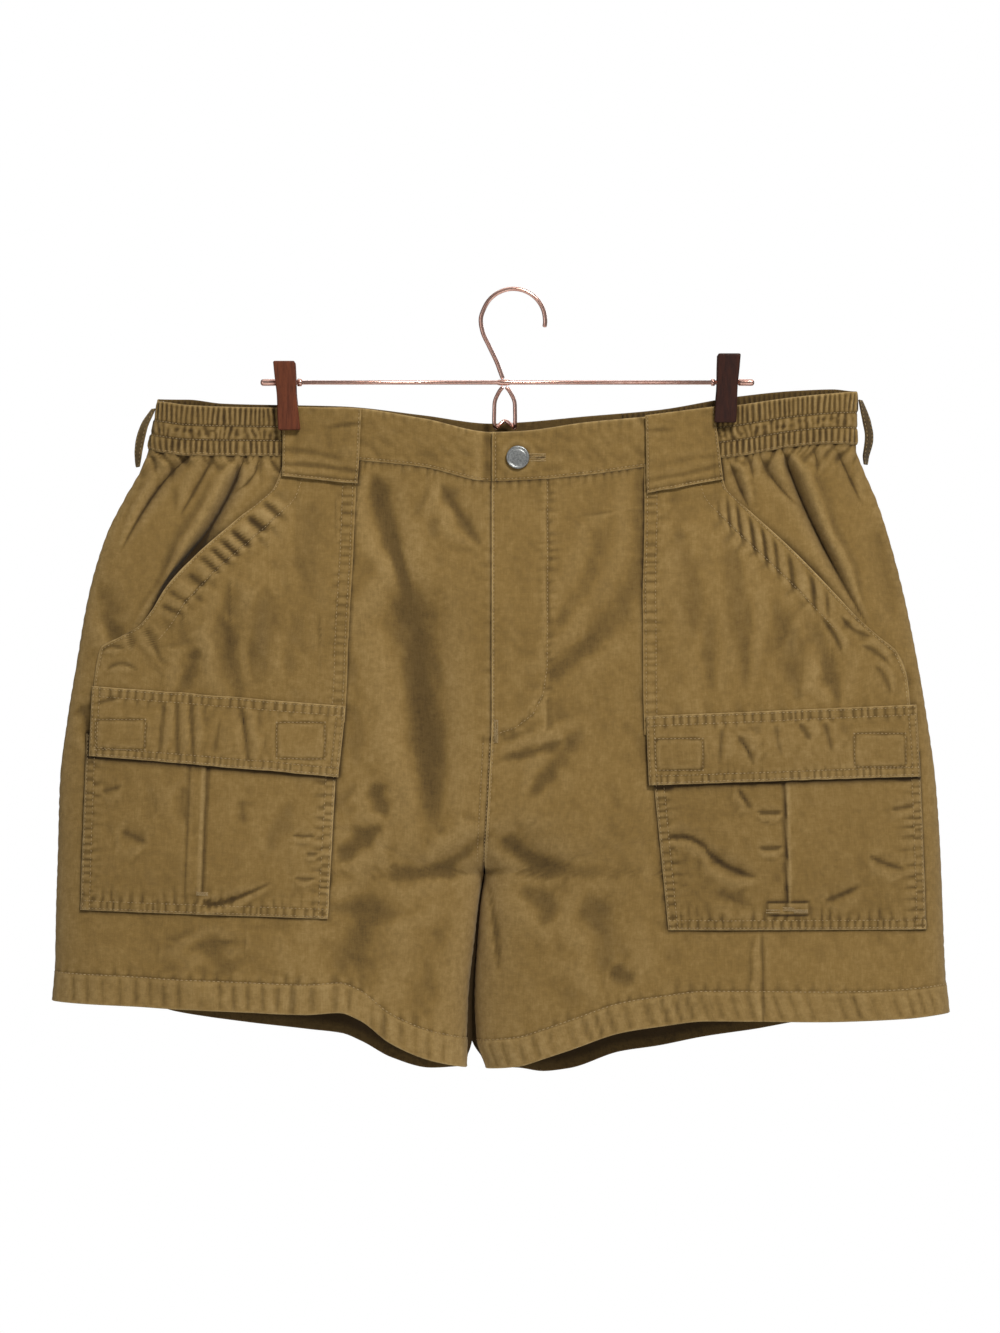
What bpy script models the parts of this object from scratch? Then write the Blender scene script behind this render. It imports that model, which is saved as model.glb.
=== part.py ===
"""Cargo shorts hanging from a wire hanger with two wooden clips.

The cloth is a set of walls on one shared form. Every height has a section, front and back, for each
half of the garment; below the crotch each half closes into a leg tube. Heights are measured from the
inside of the hanger hook's crown, +Z up, and the front of the garment faces -Y. Left is -X.
"""
import math

import bmesh
import bpy
import numpy as np

for old in list(bpy.data.objects):
    bpy.data.objects.remove(old, do_unlink=True)

MM = 0.001

# ---------------------------------------------------------------- sizes, in millimetres
PANEL_WALL = 1.4
PANEL_ACROSS = 420.0  # length of a panel's longest section, inner edge to side
BAND_WALL = 2.4
PATCH_WALL = 1.2
TAB_WALL = 1.6
FLAP_WALL = 2.0
SEAM_GAP = 0.32
LAY_GAP = 1.1  # between a panel and what is sewn on it
FULLNESS = 2.5  # squareness of the flattened sections
CROTCH_HEIGHT = -464.8
CROTCH_SPREAD = 60.0  # how far a half's section reaches past the centre, one CROTCH_RISE up
CROTCH_RISE = 25.0
CROTCH_FLARE = 1.37
CLIP_LEFT = -181.0
CLIP_RIGHT = 170.0
PINCH = 1.9  # half the spacing of front and back cloth under a clip
PINCH_REACH = 9.0  # the cloth lies flat this far either side of a clip's middle
MOUTH_FRONT = 17.0  # how far the waist parts at the centre
MOUTH_BACK = 13.0
SIDE_PUFF = 9.0
SETTLE_TOP = -105.0  # the pinched waist opens into the body over this much height
SETTLE_DROP = 150.0

# height, left side, right side, centre seam, front depth, back depth
SECTIONS = (
    (-70.0, -283.0, 274.0, -16.8, 14.0, 14.0),
    (-90.0, -283.5, 274.4, -16.8, 14.0, 14.0),
    (-108.0, -287.0, 274.0, -16.8, 15.0, 15.0),
    (-126.0, -291.0, 274.2, -16.8, 16.5, 17.0),
    (-141.6, -296.8, 279.5, -16.8, 18.0, 20.0),
    (-167.0, -311.0, 290.4, -16.8, 21.0, 26.0),
    (-195.0, -324.8, 299.6, -16.8, 25.0, 32.0),
    (-244.0, -339.2, 312.4, -16.8, 30.0, 39.0),
    (-300.0, -349.0, 323.7, -16.8, 33.0, 43.0),
    (-340.0, -355.6, 330.4, -16.8, 35.0, 44.0),
    (-393.0, -362.0, 337.6, -19.0, 38.0, 44.0),
    (-450.0, -363.6, 341.4, -22.2, 40.0, 43.0),
    (-495.0, -365.0, 343.2, -24.0, 41.0, 43.0),
    (-546.0, -366.0, 345.3, -26.0, 43.0, 44.0),
    (-580.0, -368.8, 348.4, -27.0, 44.0, 45.0),
    (-640.0, -369.5, 350.0, -28.0, 45.0, 46.0),
)
# height, inner edge of the left leg, inner edge of the right leg
LEG_INNER = (
    (-464.8, -23.6, -22.0),
    (-475.0, -25.6, -23.4),
    (-487.0, -27.6, -25.2),
    (-515.0, -30.8, -27.6),
    (-566.0, -36.2, -30.2),
    (-597.0, -37.2, -28.8),
    (-622.0, -37.6, -20.8),
    (-640.0, -37.6, -18.0),
)
# across, front top, front bottom, back top, back bottom: the waistband's edges
BAND = (
    (-300.0, -88.5, -126.6, -88.5, -126.6),
    (-292.0, -88.5, -126.6, -88.5, -126.6),
    (-284.0, -88.5, -129.0, -86.5, -128.0),
    (-261.0, -91.5, -132.0, -86.4, -128.5),
    (-233.0, -92.8, -132.2, -89.6, -131.0),
    (-191.0, -93.3, -132.3, -91.0, -133.0),
    (-138.0, -93.3, -135.2, -92.0, -134.0),
    (-73.0, -102.2, -141.4, -98.8, -140.5),
    (-17.0, -113.4, -153.4, -105.5, -147.0),
    (4.0, -112.8, -152.8, -104.6, -146.5),
    (58.0, -105.6, -148.0, -99.8, -141.8),
    (116.0, -99.8, -139.8, -94.9, -137.0),
    (181.0, -91.2, -132.4, -84.2, -127.0),
    (226.0, -85.1, -124.8, -79.4, -122.5),
    (256.0, -82.2, -122.6, -78.2, -121.5),
    (275.0, -80.6, -123.4, -80.2, -123.0),
    (290.0, -80.4, -123.6, -80.4, -123.6),
)
# across, front hem, back hem: the lower edges of the legs
HEM_LEFT = (
    (-372.0, -567.0, -567.0),
    (-345.0, -568.5, -569.0),
    (-297.0, -570.4, -572.0),
    (-272.0, -572.0, -579.0),
    (-215.0, -574.4, -587.6),
    (-164.0, -576.5, -593.5),
    (-138.0, -575.0, -596.6),
    (-122.0, -580.8, -603.0),
    (-98.0, -599.2, -615.8),
    (-67.0, -613.3, -623.6),
    (-37.0, -620.6, -620.6),
)
HEM_RIGHT = (
    (-24.0, -621.6, -621.6),
    (4.5, -618.4, -623.4),
    (25.0, -611.8, -626.6),
    (45.3, -604.8, -624.6),
    (86.0, -590.8, -611.4),
    (118.0, -585.6, -606.6),
    (153.0, -581.6, -599.6),
    (194.0, -581.8, -593.6),
    (243.0, -582.4, -585.4),
    (310.0, -580.6, -581.6),
    (352.0, -576.5, -576.5),
)
# from across, from height, to across, to height, half width, depth: the largest folds of the front
FRONT_FOLDS = (
    (-273.0, -128.0, -313.0, -206.0, 9.0, 3.0),
    (-217.0, -135.0, -254.0, -210.0, 10.0, 5.0),
    (-254.0, -210.0, -293.0, -262.0, 10.0, 5.0),
    (216.0, -128.0, 238.0, -182.0, 10.0, 4.5),
    (238.0, -182.0, 262.0, -238.0, 10.0, 4.0),
    (-109.0, -150.0, -84.0, -240.0, 15.0, 3.0),
    (-84.0, -240.0, -68.0, -420.0, 22.0, 4.5),
    (101.0, -155.0, 73.0, -295.0, 16.0, 2.5),
    (2.0, -425.0, 35.0, -507.0, 15.0, 3.0),
    (-120.0, -452.0, -88.0, -427.0, 13.0, 2.5),
)
BACK_FOLDS = (
    (-216.0, -135.0, -240.0, -230.0, 13.0, 4.0),
    (210.0, -128.0, 236.0, -226.0, 13.0, 4.0),
    (-96.0, -390.0, -190.0, -430.0, 20.0, 3.5),
    (60.0, -392.0, 150.0, -436.0, 20.0, 3.5),
    (-130.0, -470.0, -118.0, -590.0, 20.0, 4.0),
    (118.0, -480.0, 112.0, -595.0, 20.0, 4.0),
)


# ---------------------------------------------------------------- smooth curves through table rows
def column_curve(rows, key, column):
    """A smooth curve through one column of a table, without overshoot."""
    table = sorted((row[key], row[column]) for row in rows)
    xs = np.array([a for a, _ in table])
    ys = np.array([b for _, b in table])
    steps = np.diff(xs)
    slopes = np.diff(ys) / steps
    tangents = np.zeros(len(xs))
    tangents[0], tangents[-1] = slopes[0], slopes[-1]
    for i in range(1, len(xs) - 1):
        if slopes[i - 1] * slopes[i] > 0:
            before = 2 * steps[i] + steps[i - 1]
            after = steps[i] + 2 * steps[i - 1]
            tangents[i] = (before + after) / (before / slopes[i - 1] + after / slopes[i])

    def curve(at):
        at = np.clip(np.asarray(at, float), xs[0], xs[-1])
        i = np.clip(np.searchsorted(xs, at) - 1, 0, len(xs) - 2)
        t = (at - xs[i]) / steps[i]
        rise = ys[i] * (1 + 2 * t) * (1 - t) ** 2 + ys[i + 1] * t * t * (3 - 2 * t)
        return rise + steps[i] * (tangents[i] * t * (1 - t) ** 2 - tangents[i + 1] * t * t * (1 - t))

    return curve


def ease(t):
    t = np.clip(t, 0.0, 1.0)
    return t * t * (3 - 2 * t)


LEFT, RIGHT = -1, 1
FRONT, BACK = 0, 1
side_at = {LEFT: column_curve(SECTIONS, 0, 1), RIGHT: column_curve(SECTIONS, 0, 2)}
centre_at = column_curve(SECTIONS, 0, 3)
depth_at = {FRONT: column_curve(SECTIONS, 0, 4), BACK: column_curve(SECTIONS, 0, 5)}
inner_leg_at = {LEFT: column_curve(LEG_INNER, 0, 1), RIGHT: column_curve(LEG_INNER, 0, 2)}
band_top = {FRONT: column_curve(BAND, 0, 1), BACK: column_curve(BAND, 0, 3)}
band_bottom = {FRONT: column_curve(BAND, 0, 2), BACK: column_curve(BAND, 0, 4)}
hem_at = {
    (LEFT, FRONT): column_curve(HEM_LEFT, 0, 1),
    (LEFT, BACK): column_curve(HEM_LEFT, 0, 2),
    (RIGHT, FRONT): column_curve(HEM_RIGHT, 0, 1),
    (RIGHT, BACK): column_curve(HEM_RIGHT, 0, 2),
}


# ---------------------------------------------------------------- the form of the garment
def inner_edge(half, z):
    """Where a half's section closes on its inner side. Above the crotch that lies past the centre."""
    z = np.asarray(z, float)
    rise = np.maximum(z - CROTCH_HEIGHT, 0.0) / CROTCH_RISE
    reach = CROTCH_SPREAD * rise**CROTCH_FLARE
    full = np.abs(side_at[-half](z) - centre_at(z))
    reach = reach * full / (reach**3 + full**3) ** (1 / 3)
    start = np.where(z > CROTCH_HEIGHT, inner_leg_at[half](CROTCH_HEIGHT), inner_leg_at[half](z))
    start = np.where(z > CROTCH_HEIGHT, start + (centre_at(z) - centre_at(CROTCH_HEIGHT)), start)
    return start - half * reach


def section_start(half, z):
    """Where a panel starts: its edge on the centre seam above the crotch, the inseam below."""
    z = np.asarray(z, float)
    rise = np.maximum(z - CROTCH_HEIGHT, 0.0)
    shy = (SEAM_GAP / 2 + 0.8 * np.exp(-rise / 22.0)) * half
    return np.where(z > CROTCH_HEIGHT, centre_at(z) + shy, inner_edge(half, z))


def waist_gap(half, face, x, z):
    """Half the opening of the waist: pinched at the clips, parted at the centre, puffed at the sides."""
    mouth = MOUTH_FRONT if face == FRONT else MOUTH_BACK
    first, last = CLIP_LEFT + PINCH_REACH, CLIP_RIGHT - PINCH_REACH
    across = np.clip((x - first) / (last - first), 0, 1)
    middle = PINCH + (mouth - PINCH) * np.sin(math.pi * across)
    clip = (CLIP_LEFT if half == LEFT else CLIP_RIGHT) + half * PINCH_REACH
    out = np.clip((x - clip) / (side_at[half](z) - clip), 0, 1)
    ends = (PINCH + SIDE_PUFF * np.sin(1.95 * out)) * (1 - out**6) ** (1 / 2.2)
    inside = (x > first) & (x < last)
    return np.where(inside, middle, ends)


def fold_depth(folds, x, z):
    total = np.zeros(np.broadcast(x, z).shape)
    for x0, z0, x1, z1, width, depth in folds:
        length = math.hypot(x1 - x0, z1 - z0)
        ux, uz = (x1 - x0) / length, (z1 - z0) / length
        along = ((x - x0) * ux + (z - z0) * uz) / length
        off = (x - x0) * uz - (z - z0) * ux
        ends = ease((along + 0.18) / 0.36) * ease((1.18 - along) / 0.36)
        total = total + depth * ends * np.exp(-((off / width) ** 2))
    return total


def cloth_y(half, face, x, z):
    """Depth of the cloth's middle surface at a place seen from the front."""
    x, z = np.asarray(x, float), np.asarray(z, float)
    outer, inner = side_at[half](z), inner_edge(half, z)
    place = np.clip(np.abs(x - (outer + inner) / 2) / (np.abs(outer - inner) / 2), 0, 1)
    swell = (1 - place**FULLNESS) ** (1 / FULLNESS)
    open_share = ease((SETTLE_TOP - z) / SETTLE_DROP)
    gap = (1 - open_share) * waist_gap(half, face, x, z) + open_share * depth_at[face](z) * swell
    folds = fold_depth(FRONT_FOLDS if face == FRONT else BACK_FOLDS, x, z)
    gap = gap - folds * np.minimum(1, 1.6 * swell) * np.minimum(1, open_share * 12)
    return -gap if face == FRONT else gap


HEIGHTS = np.unique(np.concatenate([np.linspace(-640, -66, 232), [CROTCH_HEIGHT, CROTCH_HEIGHT - 0.5]]))
SHARES = np.linspace(0, 1, 121)


def sheet_table(half, face):
    """Points of a face by height and by share of the section's length, inner edge to side."""
    turn = (1 - np.cos(np.linspace(0, math.pi, 241))) / 2
    xs, ys = [], []
    for z in HEIGHTS:
        start, outer = float(section_start(half, z)), float(side_at[half](z))
        x = start + (outer - start) * turn
        y = cloth_y(half, face, x, np.full_like(x, z))
        run = np.concatenate([[0], np.cumsum(np.hypot(np.diff(x), np.diff(y)))])
        xs.append(np.interp(SHARES * run[-1], run, x))
        ys.append(np.interp(SHARES * run[-1], run, y))
    return np.array(xs), np.array(ys)


SHEETS = {(h, f): sheet_table(h, f) for h in (LEFT, RIGHT) for f in (FRONT, BACK)}


def on_sheet(half, face, share, z):
    xs, ys = SHEETS[(half, face)]
    share, z = np.broadcast_arrays(np.asarray(share, float), np.asarray(z, float))
    i = np.clip(np.searchsorted(HEIGHTS, z) - 1, 0, len(HEIGHTS) - 2)
    j = np.clip((share * (len(SHARES) - 1)).astype(int), 0, len(SHARES) - 2)
    a = (z - HEIGHTS[i]) / (HEIGHTS[i + 1] - HEIGHTS[i])
    b = share * (len(SHARES) - 1) - j

    def blend(table):
        low = table[i, j] * (1 - b) + table[i, j + 1] * b
        high = table[i + 1, j] * (1 - b) + table[i + 1, j + 1] * b
        return low * (1 - a) + high * a

    return blend(xs), blend(ys)


def between_edges(half, face, share, drop, upper, lower):
    """Points at a share across and a share down between two edge curves of the face."""
    drop = np.repeat(np.asarray(drop, float)[:, None], np.shape(share)[-1], axis=1)
    share = np.broadcast_to(share, drop.shape)
    x, _ = on_sheet(half, face, share, np.full(share.shape, -300.0))
    for _ in range(30):
        z = upper(x) + drop * (lower(x) - upper(x))
        x = 0.5 * x + 0.5 * on_sheet(half, face, share, z)[0]
    x, y = on_sheet(half, face, share, z)
    return np.stack([x, y, z], axis=-1)


# ---------------------------------------------------------------- solids
COLOURS = {
    "twill": ((0.235, 0.165, 0.062, 1), 0.9, 0.0),
    "copper": ((0.80, 0.46, 0.36, 1), 0.25, 1.0),
    "wood": ((0.105, 0.035, 0.018, 1), 0.5, 0.0),
    "dark_wood": ((0.040, 0.014, 0.010, 1), 0.5, 0.0),
    "silver": ((0.36, 0.37, 0.36, 1), 0.4, 1.0),
    "tape": ((0.16, 0.11, 0.05, 1), 0.9, 0.0),
}


def finish(name, data, look, smooth=False):
    piece = bpy.data.objects.new(name, data)
    bpy.context.scene.collection.objects.link(piece)
    colour, rough, metal = COLOURS[look]
    material = bpy.data.materials.new(name + "_" + look)
    material.use_nodes = True
    shader = material.node_tree.nodes["Principled BSDF"]
    shader.inputs["Base Color"].default_value = colour
    shader.inputs["Roughness"].default_value = rough
    shader.inputs["Metallic"].default_value = metal
    data.materials.append(material)
    if smooth and hasattr(data, "polygons"):
        data.polygons.foreach_set("use_smooth", [True] * len(data.polygons))
    return piece


def grid_normals(points):
    down = np.gradient(points, axis=0)
    across = np.gradient(points, axis=1)
    normal = np.cross(down, across)
    return normal / np.maximum(np.linalg.norm(normal, axis=-1, keepdims=True), 1e-9)


def wall(name, points, inner, outer, look="twill", outward=(0, -1, 0), square=None):
    """A closed wall from a grid of points, its faces moved along the outward normal.

    Where the mask called square is set, the wall's edge stays in the plane of its seam.
    """
    normal = grid_normals(points)
    if square is not None:
        normal[..., 1] = np.where(square, 0.0, normal[..., 1])
        normal /= np.linalg.norm(normal, axis=-1, keepdims=True)
    rows, cols = points.shape[:2]
    middle = normal[rows // 2, cols // 2]
    if float(np.dot(middle, outward)) < 0:
        normal = -normal
    outer = np.broadcast_to(outer, (rows, cols))[..., None]
    inner = np.broadcast_to(inner, (rows, cols))[..., None]
    outside, inside = points + normal * outer, points + normal * inner
    skin = np.concatenate([outside.reshape(-1, 3), inside.reshape(-1, 3)])
    count = rows * cols
    faces = []
    for r in range(rows - 1):
        for c in range(cols - 1):
            a, b, d, e = r * cols + c, r * cols + c + 1, (r + 1) * cols + c + 1, (r + 1) * cols + c
            faces.append((a, b, d, e))
            faces.append((a + count, e + count, d + count, b + count))
    rim = [c for c in range(cols)]
    rim += [r * cols + cols - 1 for r in range(1, rows)]
    rim += [(rows - 1) * cols + c for c in range(cols - 2, -1, -1)]
    rim += [r * cols for r in range(rows - 2, 0, -1)]
    for k, a in enumerate(rim):
        b = rim[(k + 1) % len(rim)]
        faces.append((a, a + count, b + count, b))
    mesh = bpy.data.meshes.new(name)
    mesh.from_pydata((skin * MM).tolist(), [], faces)
    work = bmesh.new()
    work.from_mesh(mesh)
    bmesh.ops.triangulate(work, faces=work.faces)
    bmesh.ops.recalc_face_normals(work, faces=work.faces)
    if work.calc_volume(signed=True) < 0:
        bmesh.ops.reverse_faces(work, faces=work.faces)
    work.to_mesh(mesh)
    work.free()
    return finish(name, mesh, look)


def side_word(half):
    return "left" if half == LEFT else "right"


# ---------------------------------------------------------------- panels
# heights along the inner edge where a panel has a row; closer together round the crotch
FRONT_ROWS = (-167, -186, -209, -236, -268, -300, -332, -364, -394, -420, -440, -453, -461, -467, -478)
FRONT_ROWS += (-498, -522, -548, -572, -590, -606)
BACK_ROWS = (-190, -230, -275, -320, -365, -402, -432, -451, -461, -467, -479, -503, -535, -568, -596)
FRONT_COLS = (0.0, 0.02, 0.05, 0.10, 0.16, 0.22, 0.28, 0.34, 0.40, 0.46, 0.52, 0.58, 0.64, 0.70, 0.76,
              0.82, 0.87, 0.915, 0.955, 0.98, 1.0)
BACK_COLS = (0.0, 0.02, 0.06, 0.12, 0.20, 0.28, 0.36, 0.44, 0.52, 0.60, 0.68, 0.76, 0.84, 0.91, 0.96,
             0.985, 1.0)


def panel(half, face, heights, shares):
    seam = SEAM_GAP / 2 / PANEL_ACROSS
    shares = np.clip(np.array(shares), seam, 1 - seam)
    lower = hem_at[(half, face)]

    def upper(x):
        return band_bottom[face](x) - SEAM_GAP - 0.25

    start = float(centre_at(-150.0))
    foot = float(inner_leg_at[half](-622.0))
    first, last = float(upper(start)), float(lower(foot))
    drops = [0.0] + [(first - h) / (first - last) for h in heights] + [1.0]
    points = between_edges(half, face, shares, np.array(drops), upper, lower)
    name = ("front" if face == FRONT else "back") + "_panel_" + side_word(half)
    square = np.zeros(points.shape[:2], bool)
    square[:, -1] = True
    square[:, 0] = points[:, 0, 2] < CROTCH_HEIGHT
    outward = (0, -1 if face == FRONT else 1, 0)
    return wall(name, points, -PANEL_WALL / 2, PANEL_WALL / 2, outward=outward, square=square)


for half in (LEFT, RIGHT):
    panel(half, FRONT, FRONT_ROWS, FRONT_COLS)
    panel(half, BACK, BACK_ROWS, BACK_COLS)


# ---------------------------------------------------------------- waistband
def share_of(half, face, x, z):
    """The share of the section's length at a place across."""
    low, high = np.zeros(np.shape(x)), np.ones(np.shape(x))
    for _ in range(40):
        mid = (low + high) / 2
        here = on_sheet(half, face, mid, z)[0]
        further = (x - here) * half > 0
        low, high = np.where(further, mid, low), np.where(further, high, mid)
    return (low + high) / 2


BAND_DROPS = np.array([0.0, 0.34, 0.67, 1.0])


def band_strip(half, face, across, drops=BAND_DROPS):
    """Waistband points over a stretch away from the side turn."""
    x = np.broadcast_to(np.array(across, float), (len(drops), len(across)))
    top, bottom = band_top[face](x), band_bottom[face](x)
    z = top + drops[:, None] * (bottom - top)
    halves = np.where(x < centre_at(z), LEFT, RIGHT)
    y = np.where(halves == LEFT, cloth_y(LEFT, face, x, z), cloth_y(RIGHT, face, x, z))
    return np.stack([x, y, z], axis=-1)


def band_end_strip(half, face, from_x, count, drops=BAND_DROPS):
    """Waistband points from a place across out to the side turn."""
    top, bottom = float(band_top[face](from_x)), float(band_bottom[face](from_x))
    z = top + drops * (bottom - top)
    first = share_of(half, face, np.full(len(drops), float(from_x)), z)[:, None]
    shares = first + (1 - first) * (1 - (1 - np.linspace(0, 1, count)) ** 1.5)
    return between_edges(half, face, shares, drops, band_top[face], band_bottom[face])


TAB_EDGE = {LEFT: -184.5, RIGHT: 162.0}  # where the gathered side pieces start, under the wide tabs
BACK_EDGE = {LEFT: -146.0, RIGHT: 87.0}  # where they end at the back
LAP_EDGE = -17.0
UNDERLAP = 24.0
LAP_STEP = BAND_WALL + 0.4

left_x = list(np.linspace(TAB_EDGE[LEFT] + SEAM_GAP, -30.0, 10)) + [-22.0, -16.0, 0.0, 12.0, UNDERLAP]
left_band = band_strip(LEFT, FRONT, left_x)
left_step = LAP_STEP * ease((np.array(left_x) + 30.0) / 11.0)
left_band[..., 1] += left_step[None, :]
wall("waistband_front_left", left_band, -BAND_WALL / 2, BAND_WALL / 2)
right_x = [LAP_EDGE, -8.0, 4.0, 16.0, 28.0, 44.0, 62.0, 80.0, 98.0, 116.0, 134.0, 148.0]
right_x.append(TAB_EDGE[RIGHT] - SEAM_GAP)
right_band = wall("waistband_front_right", band_strip(RIGHT, FRONT, right_x), -BAND_WALL / 2, BAND_WALL / 2)
back_x = np.linspace(BACK_EDGE[LEFT] + SEAM_GAP, BACK_EDGE[RIGHT] - SEAM_GAP, 17)
wall("waistband_back", band_strip(LEFT, BACK, back_x), -BAND_WALL / 2, BAND_WALL / 2, outward=(0, 1, 0))
for half in (LEFT, RIGHT):
    fronts = band_end_strip(half, FRONT, TAB_EDGE[half], 12)
    backs = band_end_strip(half, BACK, BACK_EDGE[half], 13)
    ring = np.concatenate([fronts, backs[:, -2::-1]], axis=1)
    wall("waistband_side_" + side_word(half), ring, -BAND_WALL / 2, BAND_WALL / 2, outward=(half, 0, 0))

# ---------------------------------------------------------------- pieces sewn on the fronts
PATCH_IN = PANEL_WALL / 2 + LAY_GAP
PATCH_OUT = PATCH_IN + PATCH_WALL
TOP_IN = PATCH_OUT + 0.45  # inner face of the flaps and tabs, which lie on the patches
POUCH_PUFF = 4.5  # how far the cargo pockets stand off the panel halfway across
PLEAT_DEEP = 1.9
MOUTH_GAPE = 2.2  # how far the slanted mouths stand open
FLAP_LIFT = 5.0
FLAP_EDGE_LIFT = 0.8

# height, outer edge, inner edge: the hip pocket patches, their slanted mouths first
HIP_PATCH_LEFT = (
    (-138.0, -183.5, -124.5),
    (-157.0, -190.5, -125.0),
    (-185.0, -220.8, -126.0),
    (-211.0, -250.4, -127.0),
    (-238.0, -276.0, -128.5),
    (-257.0, -288.0, -129.5),
    (-268.0, -297.5, -130.0),
    (-277.0, -313.0, -130.5),
    (-285.0, -328.0, -131.0),
    (-308.0, -333.0, -131.5),
    (-345.0, -336.5, -133.5),
)
HIP_PATCH_RIGHT = (
    (-139.0, 165.5, 104.5),
    (-157.0, 169.5, 104.5),
    (-179.0, 191.0, 104.5),
    (-202.0, 215.5, 104.0),
    (-225.0, 239.0, 103.5),
    (-245.0, 258.0, 103.0),
    (-260.0, 272.5, 103.0),
    (-277.0, 291.5, 103.0),
    (-288.0, 305.0, 103.0),
    (-308.0, 313.5, 103.0),
    (-355.0, 318.0, 104.0),
)
# inner top, outer top, inner bottom, outer bottom, each as across and height
POCKET_LEFT = ((-139.5, -368.0), (-339.5, -354.0), (-147.0, -500.5), (-343.5, -494.0))
POCKET_RIGHT = ((109.5, -372.5), (323.5, -368.5), (123.0, -509.5), (328.0, -509.5))
FLAP_LEFT = ((-132.5, -332.0), (-334.5, -316.0), (-138.5, -388.5), (-336.5, -372.0))
FLAP_RIGHT = ((105.5, -340.0), (320.0, -331.0), (107.5, -395.0), (323.0, -388.5))
TAB_LEFT = ((-120.5, -94.5), (-184.0, -92.5), (-123.5, -155.5), (-184.5, -149.0))
TAB_RIGHT = ((105.0, -100.0), (160.5, -92.5), (106.5, -162.5), (168.0, -151.5))
PLEAT_LEFT = (-242.5, -247.5)
PLEAT_RIGHT = (215.5, 217.5)


def on_front(half, x, z):
    return np.stack([x, cloth_y(half, FRONT, x, z), z], axis=-1)


def patch_points(half, rows, across):
    outer, inner = column_curve(rows, 0, 1), column_curve(rows, 0, 2)
    heights = np.array(sorted((row[0] for row in rows), reverse=True))
    z = np.repeat(heights[:, None], len(across), axis=1)
    t = np.broadcast_to(np.array(across), z.shape)
    x = inner(z) + (outer(z) - inner(z)) * t
    return on_front(half, x, z)


def quad_points(half, corners, across, down):
    (ax, az), (bx, bz), (cx, cz), (dx, dz) = corners
    t, s = np.meshgrid(across, down)
    x = (ax + (bx - ax) * t) * (1 - s) + (cx + (dx - cx) * t) * s
    z = (az + (bz - az) * t) * (1 - s) + (cz + (dz - cz) * t) * s
    return on_front(half, x, z)


def pouch(half, corners, pleat, name):
    """A cargo pocket: it stands off the panel a little and has a pressed pleat down its middle."""
    (ax, _), (bx, _), (cx, _), (dx, _) = corners
    top, bottom = (pleat[0] - ax) / (bx - ax), (pleat[1] - cx) / (dx - cx)
    middle = (top + bottom) / 2
    fold = 1.6 / abs(bx - ax)
    across = [0.0, 0.06, 0.18, 0.32, middle - 0.06, middle - fold, middle, middle + fold, middle + 0.06]
    across += [0.68, 0.82, 0.94, 1.0]
    down = np.array([0.0, 0.12, 0.28, 0.45, 0.62, 0.78, 0.92, 1.0])
    points = quad_points(half, corners, np.array(across), down)
    t, s = np.meshgrid(across, down)
    puff = POUCH_PUFF * np.clip(np.sin(math.pi * t), 0, 1) ** 0.6 * np.clip(1 - s**3, 0, 1)
    groove = PLEAT_DEEP * (np.abs(t - middle) < fold * 0.5) * (s < 0.9)
    inner = PATCH_IN + puff - groove * np.minimum(1, puff / 2.5)
    return wall(name, points, inner, inner + PATCH_WALL)


TABLES = {
    LEFT: (HIP_PATCH_LEFT, POCKET_LEFT, PLEAT_LEFT, FLAP_LEFT, TAB_LEFT),
    RIGHT: (HIP_PATCH_RIGHT, POCKET_RIGHT, PLEAT_RIGHT, FLAP_RIGHT, TAB_RIGHT),
}
for half, (patch, pocket, pleat, flap, tab) in TABLES.items():
    word = side_word(half)
    across = np.array([0.0, 0.12, 0.28, 0.44, 0.60, 0.74, 0.86, 0.94, 1.0])
    points = patch_points(half, patch, across)
    down = np.linspace(0, 1, points.shape[0])[:, None]
    gape = MOUTH_GAPE * np.sin(math.pi * np.clip((down - 0.1) / 0.6, 0, 1))
    gape = gape * ease((across[None, :] - 0.8) / 0.2)
    wall("hip_patch_" + word, points, PATCH_IN + gape, PATCH_OUT + gape)
    pouch(half, pocket, pleat, "cargo_pocket_" + word)
    across = np.array([0.0, 0.08, 0.22, 0.36, 0.50, 0.64, 0.78, 0.92, 1.0])
    down = np.array([0.0, 0.3, 0.65, 1.0])
    points = quad_points(half, flap, across, down)
    rise = FLAP_LIFT * np.sin(math.pi * across[None, :]) ** 0.6 + FLAP_EDGE_LIFT
    lift = 0.2 + rise * ease(down[:, None] * 1.5)
    wall("cargo_flap_" + word, points, TOP_IN + lift, TOP_IN + lift + FLAP_WALL)
    points = quad_points(half, tab, np.linspace(0, 1, 5), np.array([0.0, 0.25, 0.5, 0.72, 0.86, 1.0]))
    wall("wide_tab_" + word, points, TOP_IN, TOP_IN + TAB_WALL)

# ---------------------------------------------------------------- zip tape behind the fly
ZIP_ACROSS = np.array([-29.0, -20.0, -10.0, 0.0, 8.0])
ZIP_HEIGHTS = np.linspace(-159.0, -338.0, 8)
ZIP_BEHIND = 1.8  # the tape's middle lies this far behind the fronts
ZIP_WALL = 1.2
zx, zz = np.meshgrid(ZIP_ACROSS, ZIP_HEIGHTS)
zy = np.where(zx < centre_at(zz), cloth_y(LEFT, FRONT, zx, zz), cloth_y(RIGHT, FRONT, zx, zz))
zip_points = np.stack([zx, zy, zz], axis=-1)
wall("fly_zip", zip_points, -ZIP_BEHIND - ZIP_WALL / 2, -ZIP_BEHIND + ZIP_WALL / 2, look="tape")

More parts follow.
